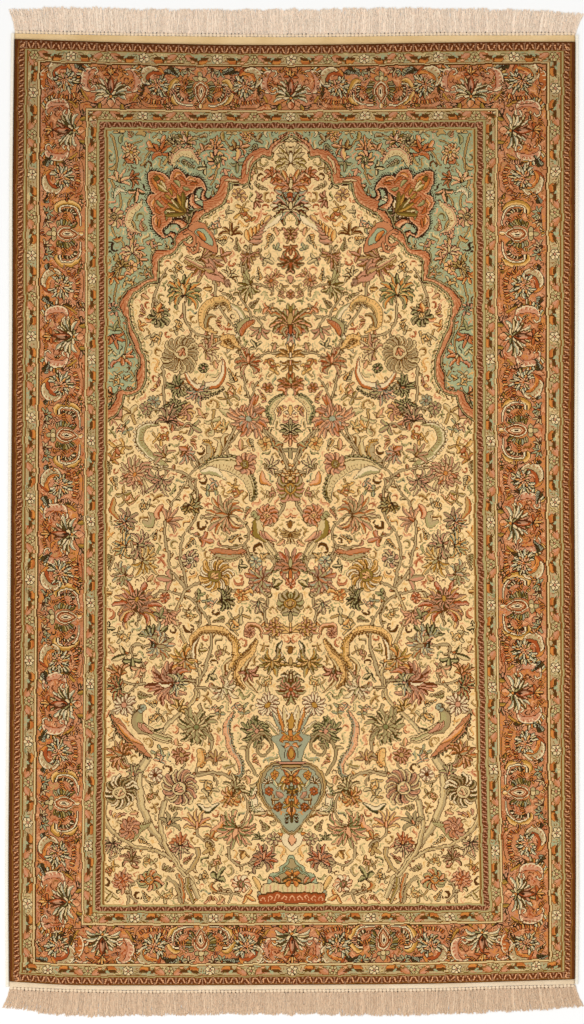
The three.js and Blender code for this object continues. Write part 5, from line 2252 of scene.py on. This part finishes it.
def main():
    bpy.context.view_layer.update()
    setScene()
    drawn = paintRug()
    print("the chart is painted:", drawn.knots.shape[1], "by", drawn.knots.shape[0], "knots")
    pilePiece = clothSheet("pile", drawn.knots, silkFinish("silk pile", True), True)
    backPiece = clothSheet("knotted_back", drawn.knots, silkFinish("silk back", False), False)
    print("the pile and the back are laid")
    bandTop = endBand("top", bandFinish("top band", "E8C080", "F6D6A4"))
    bandBottom = endBand("bottom", bandFinish("bottom band", "F6D8AE", "FCE8CA"))
    wrapping = selvedgeFinish()
    left, right = overcastSelvedge("left", wrapping), overcastSelvedge("right", wrapping)
    knotCotton = threadFinish("knot cotton", "F2DABA", "E2C4A0", 0.0)
    topCotton = threadFinish("top fringe cotton", "FFEED8", "FADCC2")
    bottomCotton = threadFinish("bottom fringe cotton", "EED2B2", "DEBA98")
    knotsTop, knotsBottom = rowOfKnots("top", knotCotton), rowOfKnots("bottom", knotCotton)
    fringes = []
    for end, cotton in (("top", topCotton), ("bottom", bottomCotton)):
        for name, look in (("threads", fringe), ("mat", mat)):
            fringes.append(fringeThreads(end, name, look, cotton))
    for piece, node, slot in (
            (pilePiece, "pile_body", "pile"), (backPiece, "pile_body", "pile"),
            (bandTop, "end_band_top", "end_band"),
            (bandBottom, "end_band_bottom", "end_band"), (left, "selvedge_left", "selvedge"),
            (right, "selvedge_right", "selvedge"),
            (knotsTop, "fringe_top", "fringe"), (knotsBottom, "fringe_bottom", "fringe"),
            *((piece, "fringe_" + piece.name.split("_")[1], "fringe") for piece in fringes)):
        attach(piece, "root")
        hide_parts(node)
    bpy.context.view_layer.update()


def setScene():
    scene = bpy.context.scene
    scene.view_settings.view_transform = "Standard"
    studio = {"distance": 5.2, "frame": 1.641, "key": 58.0, "fill": 30.0, "sky": 0.66}
    camera = bpy.data.cameras.new("camera")
    camera.sensor_fit = "VERTICAL"
    camera.sensor_height = 36
    camera.lens = 36 * studio["distance"] / studio["frame"]
    eye = bpy.data.objects.new("camera", camera)
    eye.location = (-0.0008, 0.0056, studio["distance"])
    scene.collection.objects.link(eye)
    scene.camera = eye
    for name, place, size, power, aim in (
            ("key", (-1.5, -1.7, 3.1), 2.6, studio["key"], (0, -0.1, 0)),
            ("fill", (1.8, 1.5, 3.2), 3.0, studio["fill"], (0, 0.1, 0))):
        lamp = bpy.data.lights.new(name, "AREA")
        lamp.shape = "SQUARE"
        lamp.size = size
        lamp.energy = power
        lamp.color = (1.0, 0.985, 0.96)
        holder = bpy.data.objects.new(name, lamp)
        holder.location = place
        holder.rotation_euler = (Vector(aim) - Vector(place)).to_track_quat("-Z", "Y").to_euler()
        scene.collection.objects.link(holder)
    world = bpy.data.worlds.new("studio")
    world.use_nodes = True
    world.node_tree.nodes["Background"].inputs[0].default_value = (1.0, 1.0, 1.0, 1)
    world.node_tree.nodes["Background"].inputs[1].default_value = studio["sky"]
    scene.world = world
    floor = Finish("pale floor", Roughness=0.9, Specular_IOR_Level=0.1)
    place = floor.place()
    floor.colour(floor.shade(floor.mix(floor.noise(place, 3.0), (0.93, 0.93, 0.925), (0.95, 0.95, 0.945)),
                             1.0))
    board = asMesh("floor", [(-9000, -9000, -0.25), (9000, -9000, -0.25), (9000, 9000, -0.25),
                             (-9000, 9000, -0.25)],
                   [(0, 1, 2, 3)], floor.material, False)


main()
